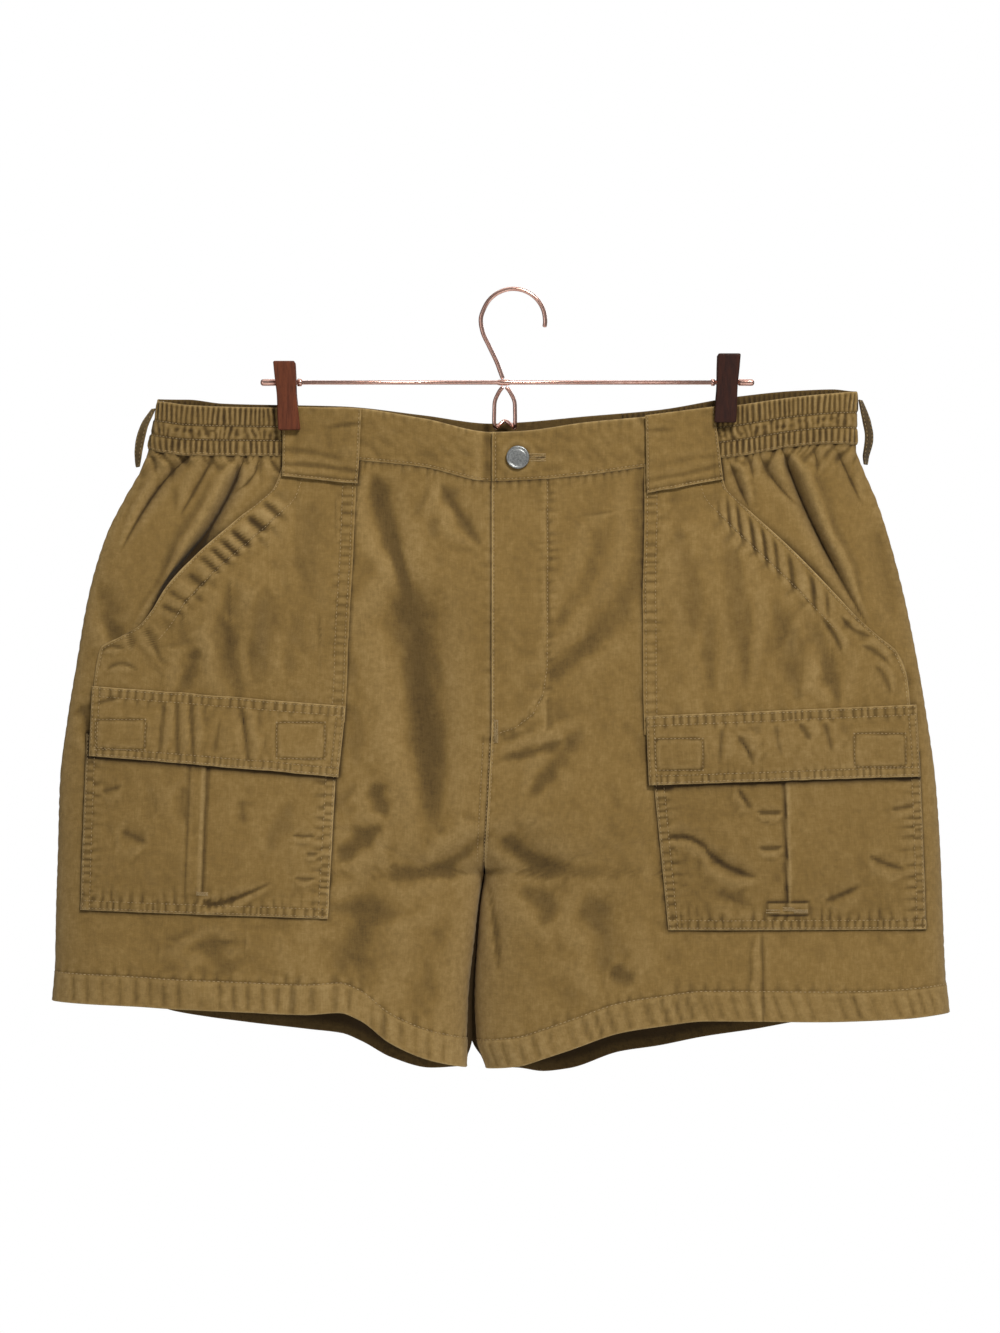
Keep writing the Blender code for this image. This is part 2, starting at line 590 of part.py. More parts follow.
# ---------------------------------------------------------------- belt loops at the sides
# height, stand-off of the loop's front edge from the band
LOOP_LEFT = ((-94.0, 1.9), (-100.0, 3.3), (-110.0, 5.0), (-119.0, 5.3), (-128.0, 4.8), (-135.0, 3.5),
             (-141.0, 2.2))
LOOP_RIGHT = ((-87.0, 1.9), (-94.0, 3.2), (-105.0, 5.6), (-116.0, 7.4), (-126.0, 6.4), (-133.0, 4.0),
              (-139.0, 2.2))
LOOP_WIDTH = 11.0
LOOP_WALL = 1.4
LOOP_TURN = math.radians(40)  # between its sewn ends a loop has twisted to face forwards
LOOP_FLAT = 0.06  # share of the twist's half wave left out at each sewn end


def loop_turn(heights):
    """How far the loop has twisted at each height: a little at its sewn ends, most halfway down."""
    down = (heights[0] - heights) / (heights[0] - heights[-1])
    return LOOP_TURN * np.sin(math.pi * (LOOP_FLAT + (1 - 2 * LOOP_FLAT) * down)) ** 0.6


for half, rows in ((LEFT, LOOP_LEFT), (RIGHT, LOOP_RIGHT)):
    heights, reach = (np.array(column) for column in zip(*rows))
    turn = loop_turn(heights)
    spread = LOOP_WIDTH * np.stack([half * np.sin(turn), np.cos(turn), 0 * turn], axis=1)
    front = np.stack([side_at[half](heights) + half * reach, -spread[:, 1] / 2, heights], axis=1)
    points = np.stack([front + share * spread for share in (0, 0.5, 1)], axis=1)
    wall("side_loop_" + side_word(half), points, -LOOP_WALL / 2, LOOP_WALL / 2, outward=(half, 0, 0))

# ---------------------------------------------------------------- button and buttonhole
BUTTON_X, BUTTON_Z = 3.8, -133.8
BUTTON_RADIUS = 9.25
BUTTON_SIDES = 40
HOLE_RADIUS = 2.7
SLIT_END = 26.0
SLIT_HALF = 0.8
band_front_y = float(cloth_y(RIGHT, FRONT, BUTTON_X, BUTTON_Z)) - BAND_WALL / 2
# radius, how far the profile stands out from the band
BUTTON_PROFILE = ((2.0, -2.2), (2.0, 0.6), (7.6, 0.6), (BUTTON_RADIUS, 1.2), (BUTTON_RADIUS, 2.3), (8.8, 2.9),
                  (7.9, 3.0), (7.2, 2.7), (4.0, 3.0), (1.6, 3.15))


def turned(name, profile, centre, look, sides):
    """A solid turned about the Y axis, its profile given as radius and distance towards -Y."""
    mesh = bpy.data.meshes.new(name)
    work = bmesh.new()
    rings = []
    for radius, out in profile:
        ring = []
        for k in range(sides):
            a = 2 * math.pi * k / sides
            at = (centre[0] + radius * math.cos(a), centre[1] - out, centre[2] + radius * math.sin(a))
            ring.append(work.verts.new([c * MM for c in at]))
        rings.append(ring)
    for low, high in zip(rings, rings[1:]):
        for k in range(sides):
            work.faces.new((low[k], low[(k + 1) % sides], high[(k + 1) % sides], high[k]))
    work.faces.new(rings[0][::-1])
    work.faces.new(rings[-1])
    bmesh.ops.recalc_face_normals(work, faces=work.faces)
    work.to_mesh(mesh)
    work.free()
    return finish(name, mesh, look, smooth=True)


turned("waist_button", BUTTON_PROFILE, (BUTTON_X, band_front_y, BUTTON_Z), "silver", BUTTON_SIDES)

outline = []
for k in range(17):
    a = math.radians(18 + k * (360 - 36) / 16)
    outline.append((BUTTON_X + HOLE_RADIUS * math.cos(a), BUTTON_Z + HOLE_RADIUS * math.sin(a)))
outline += [(SLIT_END, BUTTON_Z - SLIT_HALF), (SLIT_END, BUTTON_Z + SLIT_HALF)]
cutter_mesh = bpy.data.meshes.new("buttonhole_cutter")
work = bmesh.new()
near = [work.verts.new((x * MM, (band_front_y - 6) * MM, z * MM)) for x, z in outline]
far = [work.verts.new((x * MM, (band_front_y + 8) * MM, z * MM)) for x, z in outline]
work.faces.new(near)
work.faces.new(far[::-1])
for k in range(len(outline)):
    n = (k + 1) % len(outline)
    work.faces.new((near[n], near[k], far[k], far[n]))
bmesh.ops.recalc_face_normals(work, faces=work.faces)
work.to_mesh(cutter_mesh)
work.free()
cutter = bpy.data.objects.new("buttonhole_cutter", cutter_mesh)
bpy.context.scene.collection.objects.link(cutter)
cutter.hide_render = True
cutter.display_type = "WIRE"
hole = right_band.modifiers.new("buttonhole", "BOOLEAN")
hole.operation = "DIFFERENCE"
hole.solver = "EXACT"
hole.object = cutter

# ---------------------------------------------------------------- hanger
WIRE_RADIUS = 1.75
BAR_HEIGHT = -73.2
BAR_LEFT, BAR_RIGHT = -202.0, 193.0
BAR_END_RADIUS = 2.7
EYE_RADIUS = 25.4
EYE_CENTRE = (0.3, WIRE_RADIUS - EYE_RADIUS)


def wire(name, points, radius, look="copper", resolution=2):
    data = bpy.data.curves.new(name, "CURVE")
    data.dimensions = "3D"
    data.bevel_depth = radius * MM
    data.bevel_resolution = resolution
    data.use_fill_caps = True
    spline = data.splines.new("POLY")
    spline.points.add(len(points) - 1)
    for point, at in zip(spline.points, points):
        point.co = (at[0] * MM, at[1] * MM, at[2] * MM, 1)
    return finish(name, data, look)


def smooth_path(points, spacing):
    """Evenly spaced points on a smooth curve through the given ones."""
    points = np.array(points, float)
    ends = np.vstack([2 * points[0] - points[1], points, 2 * points[-1] - points[-2]])
    dense = []
    for i in range(1, len(ends) - 2):
        before, a, b, after = ends[i - 1:i + 3]
        for t in np.linspace(0, 1, 24, endpoint=False):
            dense.append(0.5 * (2 * a + (b - before) * t + (2 * before - 5 * a + 4 * b - after) * t * t
                                + (3 * a - before - 3 * b + after) * t**3))
    dense.append(points[-1])
    dense = np.array(dense)
    run = np.concatenate([[0], np.cumsum(np.linalg.norm(np.diff(dense, axis=0), axis=1))])
    marks = np.linspace(0, run[-1], max(3, int(run[-1] / spacing)))
    return np.stack([np.interp(marks, run, dense[:, k]) for k in range(3)], axis=1)


hook_path = [(-8.4, 0, BAR_HEIGHT + WIRE_RADIUS + 2.1), (-10.2, 0, -64.5), (-13.2, 0, -56.5),
             (-19.2, 0, -44.0), (-24.0, 0, -33.6)]
for angle in (178, 160, 142, 124, 106, 90, 72, 54, 36, 18, 0, -10):
    a = math.radians(angle)
    hook_path.append((EYE_CENTRE[0] + EYE_RADIUS * math.cos(a), 0, EYE_CENTRE[1] + EYE_RADIUS * math.sin(a)))
hook_path[5] = (-25.8, 0, -23.0)  # the shank runs into the eye in one soft bend
wire("hanger_hook", smooth_path(hook_path, 3.6), WIRE_RADIUS, resolution=3)

LOOP_Y = -1.0
LOOP_WIRE_RADIUS = 1.6
loop_path = [(-8.6, LOOP_Y, BAR_HEIGHT - 4.2), (-11.0, LOOP_Y, -80.5), (-14.4, LOOP_Y, -88.0),
             (-15.0, LOOP_Y, -97.0), (-15.0, LOOP_Y, -106.5), (-13.6, 1.0, -109.6), (-10.4, 4.0, -106.6),
             (-6.4, 5.6, -103.8), (-1.9, 4.0, -106.6), (1.2, 1.0, -109.6), (1.6, LOOP_Y, -106.5),
             (1.6, LOOP_Y, -97.0), (1.0, LOOP_Y, -88.0), (-2.6, LOOP_Y, -80.5),
             (-5.0, LOOP_Y, BAR_HEIGHT - 4.2)]
wire("hanger_loop", smooth_path(loop_path, 3.4), LOOP_WIRE_RADIUS)

# across, radius: the bar, with thicker rounded ends and a small collar inside each clip
BAR_PROFILE = (
    (BAR_LEFT, 1.4), (BAR_LEFT + 0.8, 2.3), (BAR_LEFT + 2.2, BAR_END_RADIUS), (-190.0, BAR_END_RADIUS),
    (-189.0, WIRE_RADIUS), (-172.6, WIRE_RADIUS), (-172.0, 3.1), (-169.4, 3.1), (-168.6, WIRE_RADIUS),
    (158.2, WIRE_RADIUS), (158.8, 2.8), (161.0, 2.8), (161.6, WIRE_RADIUS), (180.0, WIRE_RADIUS),
    (181.0, BAR_END_RADIUS), (BAR_RIGHT - 2.2, BAR_END_RADIUS), (BAR_RIGHT - 0.8, 2.3), (BAR_RIGHT, 1.4),
)


def turned_bar(name, profile, height, look, sides=20):
    mesh = bpy.data.meshes.new(name)
    work = bmesh.new()
    rings = []
    for x, radius in profile:
        angles = [2 * math.pi * k / sides for k in range(sides)]
        ring = [(x, radius * math.cos(a), height + radius * math.sin(a)) for a in angles]
        rings.append([work.verts.new([c * MM for c in at]) for at in ring])
    for low, high in zip(rings, rings[1:]):
        for k in range(sides):
            work.faces.new((low[k], low[(k + 1) % sides], high[(k + 1) % sides], high[k]))
    work.faces.new(rings[0][::-1])
    work.faces.new(rings[-1])
    bmesh.ops.recalc_face_normals(work, faces=work.faces)
    work.to_mesh(mesh)
    work.free()
    return finish(name, mesh, look, smooth=True)


turned_bar("hanger_bar", BAR_PROFILE, BAR_HEIGHT, "copper")

CLIP_TALL = 55.0
SPRING_FOOT = -81.5
CLIP_THICK = 4.6
CLIP_LEAN = 3.0  # how far each plate leans away from the cloth at its top
PLATE_FRONT, PLATE_BACK = -8.0, 4.4  # depth of the plates' inner faces at the foot
PLATE_EDGE = 0.8
PLATE_CORNER = 1.6
SPRING_FRONT, SPRING_BACK = -7.6, 4.0
SPRING_WIDE = 13.0
SPRING_WALL = 1.2
# middle at the top, middle at the bottom, top height, wide at the top, the waist and the foot
CLIPS = {
    LEFT: (-182.8, -178.6, -56.6, 17.4, 15.6, 17.8, "wood"),
    RIGHT: (172.6, 169.4, -50.6, 18.2, 16.4, 17.8, "dark_wood"),
}


def plate(name, half, y_foot, out, look):
    """One wooden clip plate: waisted, its corners eased, leaning away from the cloth at the top."""
    top_x, foot_x, top_z, wide_top, wide_waist, wide_foot, _ = CLIPS[half]
    # share down, share of the full width
    profile = ((0.0, wide_top - PLATE_CORNER), (0.03, wide_top), (0.30, (wide_top + wide_waist) / 2),
               (0.48, wide_waist), (0.70, (wide_waist + wide_foot) / 2), (0.97, wide_foot),
               (1.0, wide_foot - PLATE_CORNER))
    mesh = bpy.data.meshes.new(name)
    work = bmesh.new()
    rings = []
    for share, wide in profile:
        x = top_x + (foot_x - top_x) * share
        z = top_z - CLIP_TALL * share
        near = y_foot + out * CLIP_LEAN * (1 - share)
        far = near + out * CLIP_THICK
        left, right, eased = x - wide / 2, x + wide / 2, far - out * PLATE_EDGE
        ring = [(left, near), (right, near), (right, eased), (right - PLATE_EDGE, far),
                (left + PLATE_EDGE, far), (left, eased)]
        rings.append([work.verts.new((a * MM, b * MM, z * MM)) for a, b in ring])
    for low, high in zip(rings, rings[1:]):
        for k in range(6):
            work.faces.new((low[k], low[(k + 1) % 6], high[(k + 1) % 6], high[k]))
    work.faces.new(rings[0][::-1])
    work.faces.new(rings[-1])
    bmesh.ops.triangulate(work, faces=work.faces)
    bmesh.ops.recalc_face_normals(work, faces=work.faces)
    work.to_mesh(mesh)
    work.free()
    return finish(name, mesh, look)


def channel(name, half, y_front, y_back):
    """The clip's bent metal: two legs inside the plates joined by a bridge over the bar."""
    top_x, foot_x, top_z = CLIPS[half][:3]
    x_mid = top_x + (foot_x - top_x) * 0.3
    # depth and height round the channel: its outer face, then its inner face back again
    outer = [(y_front, SPRING_FOOT), (y_front - 0.9, BAR_HEIGHT + 6.5), (y_front + 0.5, BAR_HEIGHT + 7.6),
             (y_back - 0.5, BAR_HEIGHT + 7.6), (y_back + 0.9, BAR_HEIGHT + 6.5), (y_back, SPRING_FOOT)]
    inner = [(y_back - SPRING_WALL, SPRING_FOOT), (y_back - 0.3, BAR_HEIGHT + 5.9),
             (y_front + 0.3, BAR_HEIGHT + 5.9), (y_front + SPRING_WALL, SPRING_FOOT)]
    outline = outer + inner
    mesh = bpy.data.meshes.new(name)
    work = bmesh.new()
    a = [work.verts.new(((x_mid - SPRING_WIDE / 2) * MM, y * MM, z * MM)) for y, z in outline]
    b = [work.verts.new(((x_mid + SPRING_WIDE / 2) * MM, y * MM, z * MM)) for y, z in outline]
    count = len(outline)
    for k in range(count):
        work.faces.new((a[k], a[(k + 1) % count], b[(k + 1) % count], b[k]))
    work.faces.new(a[::-1])
    work.faces.new(b)
    bmesh.ops.triangulate(work, faces=work.faces)
    bmesh.ops.recalc_face_normals(work, faces=work.faces)
    work.to_mesh(mesh)
    work.free()
    return finish(name, mesh, "copper")


for half in (LEFT, RIGHT):
    word = side_word(half)
    look = CLIPS[half][6]
    plate("clip_face_" + word, half, PLATE_FRONT, -1, look)
    plate("clip_back_" + word, half, PLATE_BACK, 1, look)
    channel("clip_spring_" + word, half, SPRING_FRONT, SPRING_BACK)
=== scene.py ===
"""Looks of the cargo shorts and their hanger: cloth on the garment's form, stitches, metal and wood."""
import math

import bmesh
import bpy
import numpy as np
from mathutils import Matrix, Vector


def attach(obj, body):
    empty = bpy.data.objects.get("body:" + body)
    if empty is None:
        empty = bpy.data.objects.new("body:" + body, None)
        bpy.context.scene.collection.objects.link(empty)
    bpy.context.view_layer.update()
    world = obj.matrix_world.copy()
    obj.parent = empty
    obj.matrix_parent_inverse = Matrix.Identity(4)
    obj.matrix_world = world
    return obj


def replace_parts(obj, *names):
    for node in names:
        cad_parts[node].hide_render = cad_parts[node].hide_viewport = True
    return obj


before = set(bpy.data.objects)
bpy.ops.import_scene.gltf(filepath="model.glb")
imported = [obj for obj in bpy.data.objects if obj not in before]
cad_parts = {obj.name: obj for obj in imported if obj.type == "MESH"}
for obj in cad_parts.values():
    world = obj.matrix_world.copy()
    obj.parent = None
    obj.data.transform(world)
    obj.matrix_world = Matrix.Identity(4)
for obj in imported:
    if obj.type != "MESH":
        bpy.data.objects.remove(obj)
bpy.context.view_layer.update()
MM = 0.001
LEFT, RIGHT = -1, 1
FRONT, BACK = 0, 1
SIDE = {LEFT: "left", RIGHT: "right"}
RIM = (0.5, 1.3)  # how far in the first grid lines lie from a rolled edge

# ---------------- the garment's form, in millimetres
FULLNESS = 2.5
CROTCH_HEIGHT = -464.8
CROTCH_SPREAD, CROTCH_RISE, CROTCH_FLARE = 60.0, 25.0, 1.37
CLIP_LEFT, CLIP_RIGHT = -181.0, 170.0
PINCH, PINCH_REACH = 1.9, 9.0
MOUTH_FRONT, MOUTH_BACK, SIDE_PUFF = 17.0, 13.0, 9.0
SETTLE_TOP, SETTLE_DROP = -105.0, 150.0
FOLD_SCALE, HIP_SCALE = 1.45, 1.25
# how far the panels pass the centre seam; the backs also lap at the inseam, one behind the other
CENTRE_LAP = {LEFT: 1.0, RIGHT: -0.3}
BACK_LAP, BACK_LAP_FOOT = 0.6, -616.0
BACK_TUCK = {LEFT: 1.3, RIGHT: 2.6}

# height, left side, right side, centre seam, front depth, back depth
SECTIONS = (
    (-70, -283, 274, -16.8, 14, 14), (-90, -283.5, 274.4, -16.8, 14, 14),
    (-108, -287, 274, -16.8, 15, 15), (-126, -291, 274.2, -16.8, 16.5, 17),
    (-141.6, -296.8, 279.5, -16.8, 18, 20), (-167, -311, 290.4, -16.8, 21, 26),
    (-195, -324.8, 299.6, -16.8, 25, 32), (-244, -339.2, 312.4, -16.8, 30, 39),
    (-300, -349, 323.7, -16.8, 33, 43), (-340, -355.6, 330.4, -16.8, 35, 44),
    (-393, -362, 337.6, -19, 38, 44), (-450, -363.6, 341.4, -22.2, 40, 43),
    (-495, -365, 343.2, -24, 41, 43), (-546, -366, 345.3, -26, 43, 44),
    (-580, -368.8, 348.4, -27, 44, 45), (-640, -369.5, 350, -28, 45, 46),
)
# height, inner edge of the left leg, inner edge of the right leg
LEG_INNER = (
    (-464.8, -23.6, -22), (-475, -25.6, -23.4), (-487, -27.6, -25.2), (-515, -30.8, -27.6),
    (-566, -36.2, -30.2), (-597, -37.2, -28.8), (-622, -37.6, -20.8), (-640, -37.6, -18),
)
# across, front top, front bottom, back top, back bottom: the waistband's edges
BAND = (
    (-300, -88.5, -126.6, -88.5, -126.6), (-292, -88.5, -126.6, -88.5, -126.6),
    (-284, -88.5, -129, -86.5, -128), (-261, -91.5, -132, -86.4, -128.5),
    (-233, -92.8, -132.2, -89.6, -131), (-191, -93.3, -132.3, -91, -133),
    (-138, -93.3, -135.2, -92, -134), (-73, -102.2, -141.4, -98.8, -140.5),
    (-17, -113.4, -153.4, -105.5, -147), (4, -112.8, -152.8, -104.6, -146.5),
    (58, -105.6, -148, -99.8, -141.8), (116, -99.8, -139.8, -94.9, -137),
    (181, -91.2, -132.4, -84.2, -127), (226, -85.1, -124.8, -79.4, -122.5),
    (256, -82.2, -122.6, -78.2, -121.5), (275, -80.6, -123.4, -80.2, -123),
    (290, -80.4, -123.6, -80.4, -123.6),
)
# across, front hem, back hem
HEM_LEFT = (
    (-372, -567, -567), (-345, -568.5, -569), (-297, -570.4, -572), (-272, -572, -579),
    (-215, -574.4, -587.6), (-164, -576.5, -593.5), (-138, -575, -596.6), (-122, -580.8, -603),
    (-98, -599.2, -615.8), (-67, -613.3, -623.6), (-37, -620.6, -620.6),
)
HEM_RIGHT = (
    (-24, -621.6, -621.6), (4.5, -618.4, -623.4), (25, -611.8, -626.6), (45.3, -604.8, -624.6),
    (86, -590.8, -611.4), (118, -585.6, -606.6), (153, -581.6, -599.6), (194, -581.8, -593.6),
    (243, -582.4, -585.4), (310, -580.6, -581.6), (352, -576.5, -576.5),
)
# The largest folds, as in the solids, then the creases that only show here.
# start across and height, middle across and height, end across and height, half width, depth, lip beside it
HIP_CREASES = (
    (-256, -131, -283, -158, -309, -201, 4.2, 5, 2.2),
    (-239, -132, -249, -151, -263, -176, 4.2, 2.6, 1.4),
    (-216, -137, -243, -192, -291, -262, 4.6, 8, 3.6), (-204, -136, -209, -150, -222, -161, 3, 1.8, 0.9),
    (-193, -136, -190, -141, -185, -147, 2.4, 1.3, 0.5),
    (-281, -130, -301, -152, -320, -190, 4.6, 1.6, 1.2),
    (-330, -232, -322, -262, -310, -287, 9, 2.2, 1.2), (-346, -330, -340, -345, -336, -368, 7, 2, 0.8),
    (174, -139, 180, -155, 187, -171, 3.6, 3.6, -1.4), (216, -129, 239, -187, 275, -255, 4.6, 7.5, -3.4),
    (198, -133, 208, -151, 225, -170, 4.6, 3, -1.2), (257, -125, 266, -144, 277, -168, 5, 3.2, -1.6),
    (187, -132, 190, -140, 192, -150, 2.6, 1.4, -0.6), (239, -126, 242, -134, 243, -146, 2.8, 1.3, -0.6),
    (291, -188, 300, -224, 306, -264, 9, 2.4, -1.2), (316, -300, 318, -330, 326, -352, 8, 2, -0.8),
)
FRONT_CREASES = (
    (-110, -150, -100, -188, -84, -240, 9, 2.8, 1.2), (-88, -225, -72, -320, -62, -430, 19, 5.6, 1.8),
    (-57, -156, -42, -180, -26, -203, 6.5, 1.7, 0.8), (-112, -393, -105, -408, -98, -422, 8, 0.9, 0.5),
    (-138, -454, -122, -440, -104, -426, 8.5, 1.2, 0.7), (-98, -467, -78, -465, -56, -469, 7, 0.5, 0.3),
    (-118, -478, -122, -520, -130, -566, 24, 2.4, 1), (-60, -500, -66, -540, -80, -590, 16, 1.2, 0.6),
    (-21, -470, -15, -500, -11, -542, 5, 1.8, 0.9), (-240, -512, -236, -535, -226, -560, 12, 1.4, 0.7),
    (101, -152, 96, -235, 17, -318, 14, 2.4, 1), (54, -350, 34, -378, 13, -404, 9, 1.2, 0.7),
    (37, -360, 16, -368, -7, -373, 6, 1.3, 0.8), (2, -424, 16, -465, 35, -508, 15, 1.9, 0.9),
    (78, -541, 88, -546, 99, -550, 8, 0.7, 0.3), (197, -514, 198, -548, 198, -584, 2.6, 0.9, 0.6),
    (80, -182, 62, -230, 32, -272, 10, 1.4, 0.7), (60, -480, 74, -520, 80, -566, 16, 1.7, 0.8),
    (-224, -240, -219, -285, -219, -330, 11, 1.9, 0.8), (-250, -286, -256, -305, -268, -322, 8, 1.5, 0.7),
    (-180, -205, -176, -250, -176, -310, 13, 1.2, 0.6), (150, -200, 152, -252, 158, -312, 13, 1.5, 0.7),
    (232, -262, 250, -300, 258, -330, 9, 1.6, 0.8), (128, -160, 133, -186, 136, -222, 8, 1.3, 0.6),
    (-16, -430, -40, -452, -72, -462, 8, 1.5, 0.7), (-14, -432, 14, -452, 44, -458, 8, 1.4, 0.7),
)
BACK_CREASES = (
    (-216, -134, -228, -182, -242, -232, 10, 4.2, 1.8), (210, -128, 222, -176, 238, -228, 10, 4.2, 1.8),
    (-262, -129, -276, -168, -296, -212, 6.5, 2.8, 1.3), (254, -122, 268, -160, 286, -206, 6.5, 2.8, 1.3),
    (-240, -130, -250, -158, -262, -190, 5, 2.2, 1), (234, -124, 243, -150, 256, -184, 5, 2.2, 1),
    (-190, -133, -196, -160, -204, -196, 5, 2.2, 1), (184, -128, 190, -158, 200, -192, 5, 2.2, 1),
    (-170, -135, -170, -162, -176, -190, 5, 1.9, 0.9), (150, -131, 152, -160, 160, -196, 5, 1.9, 0.9),
    (112, -136, 110, -160, 108, -188, 5, 1.6, 0.8), (-96, -388, -142, -414, -192, -430, 18, 3.6, 1.6),
    (60, -390, 106, -418, 152, -436, 18, 3.6, 1.6), (-40, -330, -80, -352, -128, -364, 11, 1.8, 0.9),
    (6, -338, 52, -356, 98, -362, 11, 1.8, 0.9), (-130, -468, -124, -530, -118, -592, 18, 3.8, 1.6),
    (118, -478, 116, -538, 112, -596, 18, 3.8, 1.6), (-230, -300, -216, -352, -214, -410, 14, 2, 0.9),
    (214, -292, 204, -350, 206, -404, 14, 2, 0.9), (-16, -420, -52, -446, -96, -458, 9, 2, 0.9),
    (-20, -422, 22, -450, 66, -462, 9, 2, 0.9), (-280, -480, -286, -522, -300, -560, 13, 1.8, 0.8),
    (268, -470, 276, -516, 284, -566, 13, 1.8, 0.8),
)


def column_curve(rows, key, column):
    """A smooth curve through one column of a table, without overshoot."""
    table = sorted((row[key], row[column]) for row in rows)
    xs = np.array([a for a, _ in table])
    ys = np.array([b for _, b in table])
    steps = np.diff(xs)
    slopes = np.diff(ys) / steps
    tangents = np.zeros(len(xs))
    tangents[0], tangents[-1] = slopes[0], slopes[-1]
    for i in range(1, len(xs) - 1):
        if slopes[i - 1] * slopes[i] > 0:
            before = 2 * steps[i] + steps[i - 1]
            after = steps[i] + 2 * steps[i - 1]
            tangents[i] = (before + after) / (before / slopes[i - 1] + after / slopes[i])

    def curve(at):
        at = np.clip(np.asarray(at, float), xs[0], xs[-1])
        i = np.clip(np.searchsorted(xs, at) - 1, 0, len(xs) - 2)
        t = (at - xs[i]) / steps[i]
        rise = ys[i] * (1 + 2 * t) * (1 - t) ** 2 + ys[i + 1] * t * t * (3 - 2 * t)
        return rise + steps[i] * (tangents[i] * t * (1 - t) ** 2 - tangents[i + 1] * t * t * (1 - t))

    return curve


def ease(t):
    t = np.clip(t, 0.0, 1.0)
    return t * t * (3 - 2 * t)


def path_run(x, z):
    """Distance along a path at each of its points."""
    return np.concatenate([[0], np.cumsum(np.hypot(np.diff(x), np.diff(z)))])


def bell(off, width):
    """1 at no distance, easing to 0 well past the width."""
    return np.exp(-((off / width) ** 2))


def speckle(ix, iy, seed):
    """A repeatable random number from 0 to 1 for each whole-numbered place."""
    h = (ix * 374761393 + iy * 668265263 + seed * 362437) & 0xFFFFFFFF
    h = ((h ^ (h >> 13)) * 1274126177) & 0xFFFFFFFF
    return ((h ^ (h >> 16)) & 0xFFFFFF) / 0xFFFFFF


def noise(x, y=0.0, seed=0):
    """Smooth noise from -1 to 1."""
    x, y = np.broadcast_arrays(np.asarray(x, float), np.asarray(y, float))
    ix, iy = np.floor(x).astype(np.int64), np.floor(y).astype(np.int64)
    u, v = ease(x - ix), ease(y - iy)
    low = speckle(ix, iy, seed) * (1 - u) + speckle(ix + 1, iy, seed) * u
    high = speckle(ix, iy + 1, seed) * (1 - u) + speckle(ix + 1, iy + 1, seed) * u
    return 2 * (low * (1 - v) + high * v) - 1


side_at = {LEFT: column_curve(SECTIONS, 0, 1), RIGHT: column_curve(SECTIONS, 0, 2)}
centre_at = column_curve(SECTIONS, 0, 3)
depth_at = {FRONT: column_curve(SECTIONS, 0, 4), BACK: column_curve(SECTIONS, 0, 5)}
inner_leg_at = {LEFT: column_curve(LEG_INNER, 0, 1), RIGHT: column_curve(LEG_INNER, 0, 2)}
band_top = {FRONT: column_curve(BAND, 0, 1), BACK: column_curve(BAND, 0, 3)}
band_bottom = {FRONT: column_curve(BAND, 0, 2), BACK: column_curve(BAND, 0, 4)}
hem_at = {(h, f): column_curve(rows, 0, 1 + f)
          for h, rows in ((LEFT, HEM_LEFT), (RIGHT, HEM_RIGHT)) for f in (FRONT, BACK)}


def inner_edge(half, z):
    """The garment's edge between the legs: along the inseam, curving away under the crotch."""
    z = np.asarray(z, float)
    rise = np.maximum(z - CROTCH_HEIGHT, 0.0) / CROTCH_RISE
    reach = CROTCH_SPREAD * rise**CROTCH_FLARE
    full = np.abs(side_at[-half](z) - centre_at(z))
    reach = reach * full / (reach**3 + full**3) ** (1 / 3)
    start = np.where(z > CROTCH_HEIGHT, inner_leg_at[half](CROTCH_HEIGHT), inner_leg_at[half](z))
    start = np.where(z > CROTCH_HEIGHT, start + (centre_at(z) - centre_at(CROTCH_HEIGHT)), start)
    return start - half * reach


def section_start(half, face, z):
    """Where a panel starts: lapped a little over the centre seam, at the inseam below; the backs lap."""
    z = np.asarray(z, float)
    inseam = inner_edge(half, z)
    if face == BACK:
        middle = (inner_edge(LEFT, z) + inner_edge(RIGHT, z)) / 2
        inseam += (middle - BACK_LAP * half - inseam) * ease((z - BACK_LAP_FOOT) / 20.0)
    rise = ease((z - CROTCH_HEIGHT) / 12.0)
    fork = {h: float(inner_leg_at[h](CROTCH_HEIGHT)) for h in (LEFT, RIGHT)}
    leg = fork[half] if face == FRONT else (fork[LEFT] + fork[RIGHT]) / 2 - BACK_LAP * half
    leg -= float(centre_at(CROTCH_HEIGHT))
    return np.where(z > CROTCH_HEIGHT, centre_at(z) + leg * (1 - rise) + CENTRE_LAP[half] * rise, inseam)


def waist_gap(half, face, x, z):
    """Half the gap between front and back at the waist, pinched together at the clips."""
    mouth = MOUTH_FRONT if face == FRONT else MOUTH_BACK
    first, last = CLIP_LEFT + PINCH_REACH, CLIP_RIGHT - PINCH_REACH
    across = np.clip((x - first) / (last - first), 0, 1)
    middle = PINCH + (mouth - PINCH) * np.sin(math.pi * across)
    clip = (CLIP_LEFT if half == LEFT else CLIP_RIGHT) + half * PINCH_REACH
    out = np.clip((x - clip) / (side_at[half](z) - clip), 0, 1)
    ends = (PINCH + SIDE_PUFF * np.sin(1.95 * out)) * (1 - out**6) ** (1 / 2.2)
    return np.where((x > first) & (x < last), middle, ends)


def smooth_y(half, face, x, z):
    """Depth of the cloth's middle surface before its folds, and how open the section is there."""
    x, z = np.asarray(x, float), np.asarray(z, float)
    outer, inner = side_at[half](z), inner_edge(half, z)
    place = np.clip(np.abs(x - (outer + inner) / 2) / (np.abs(outer - inner) / 2), 0, 1)
    swell = (1 - place**FULLNESS) ** (1 / FULLNESS)
    share = ease((SETTLE_TOP - z) / SETTLE_DROP)
    gap = (1 - share) * waist_gap(half, face, x, z) + share * depth_at[face](z) * swell
    if face == BACK:
        gap += BACK_TUCK[half] * ease((inner - x) * half / 1.5)
    hold = np.minimum(1, 1.6 * swell) * np.minimum(1, share * 12)
    return (-gap if face == FRONT else gap), hold


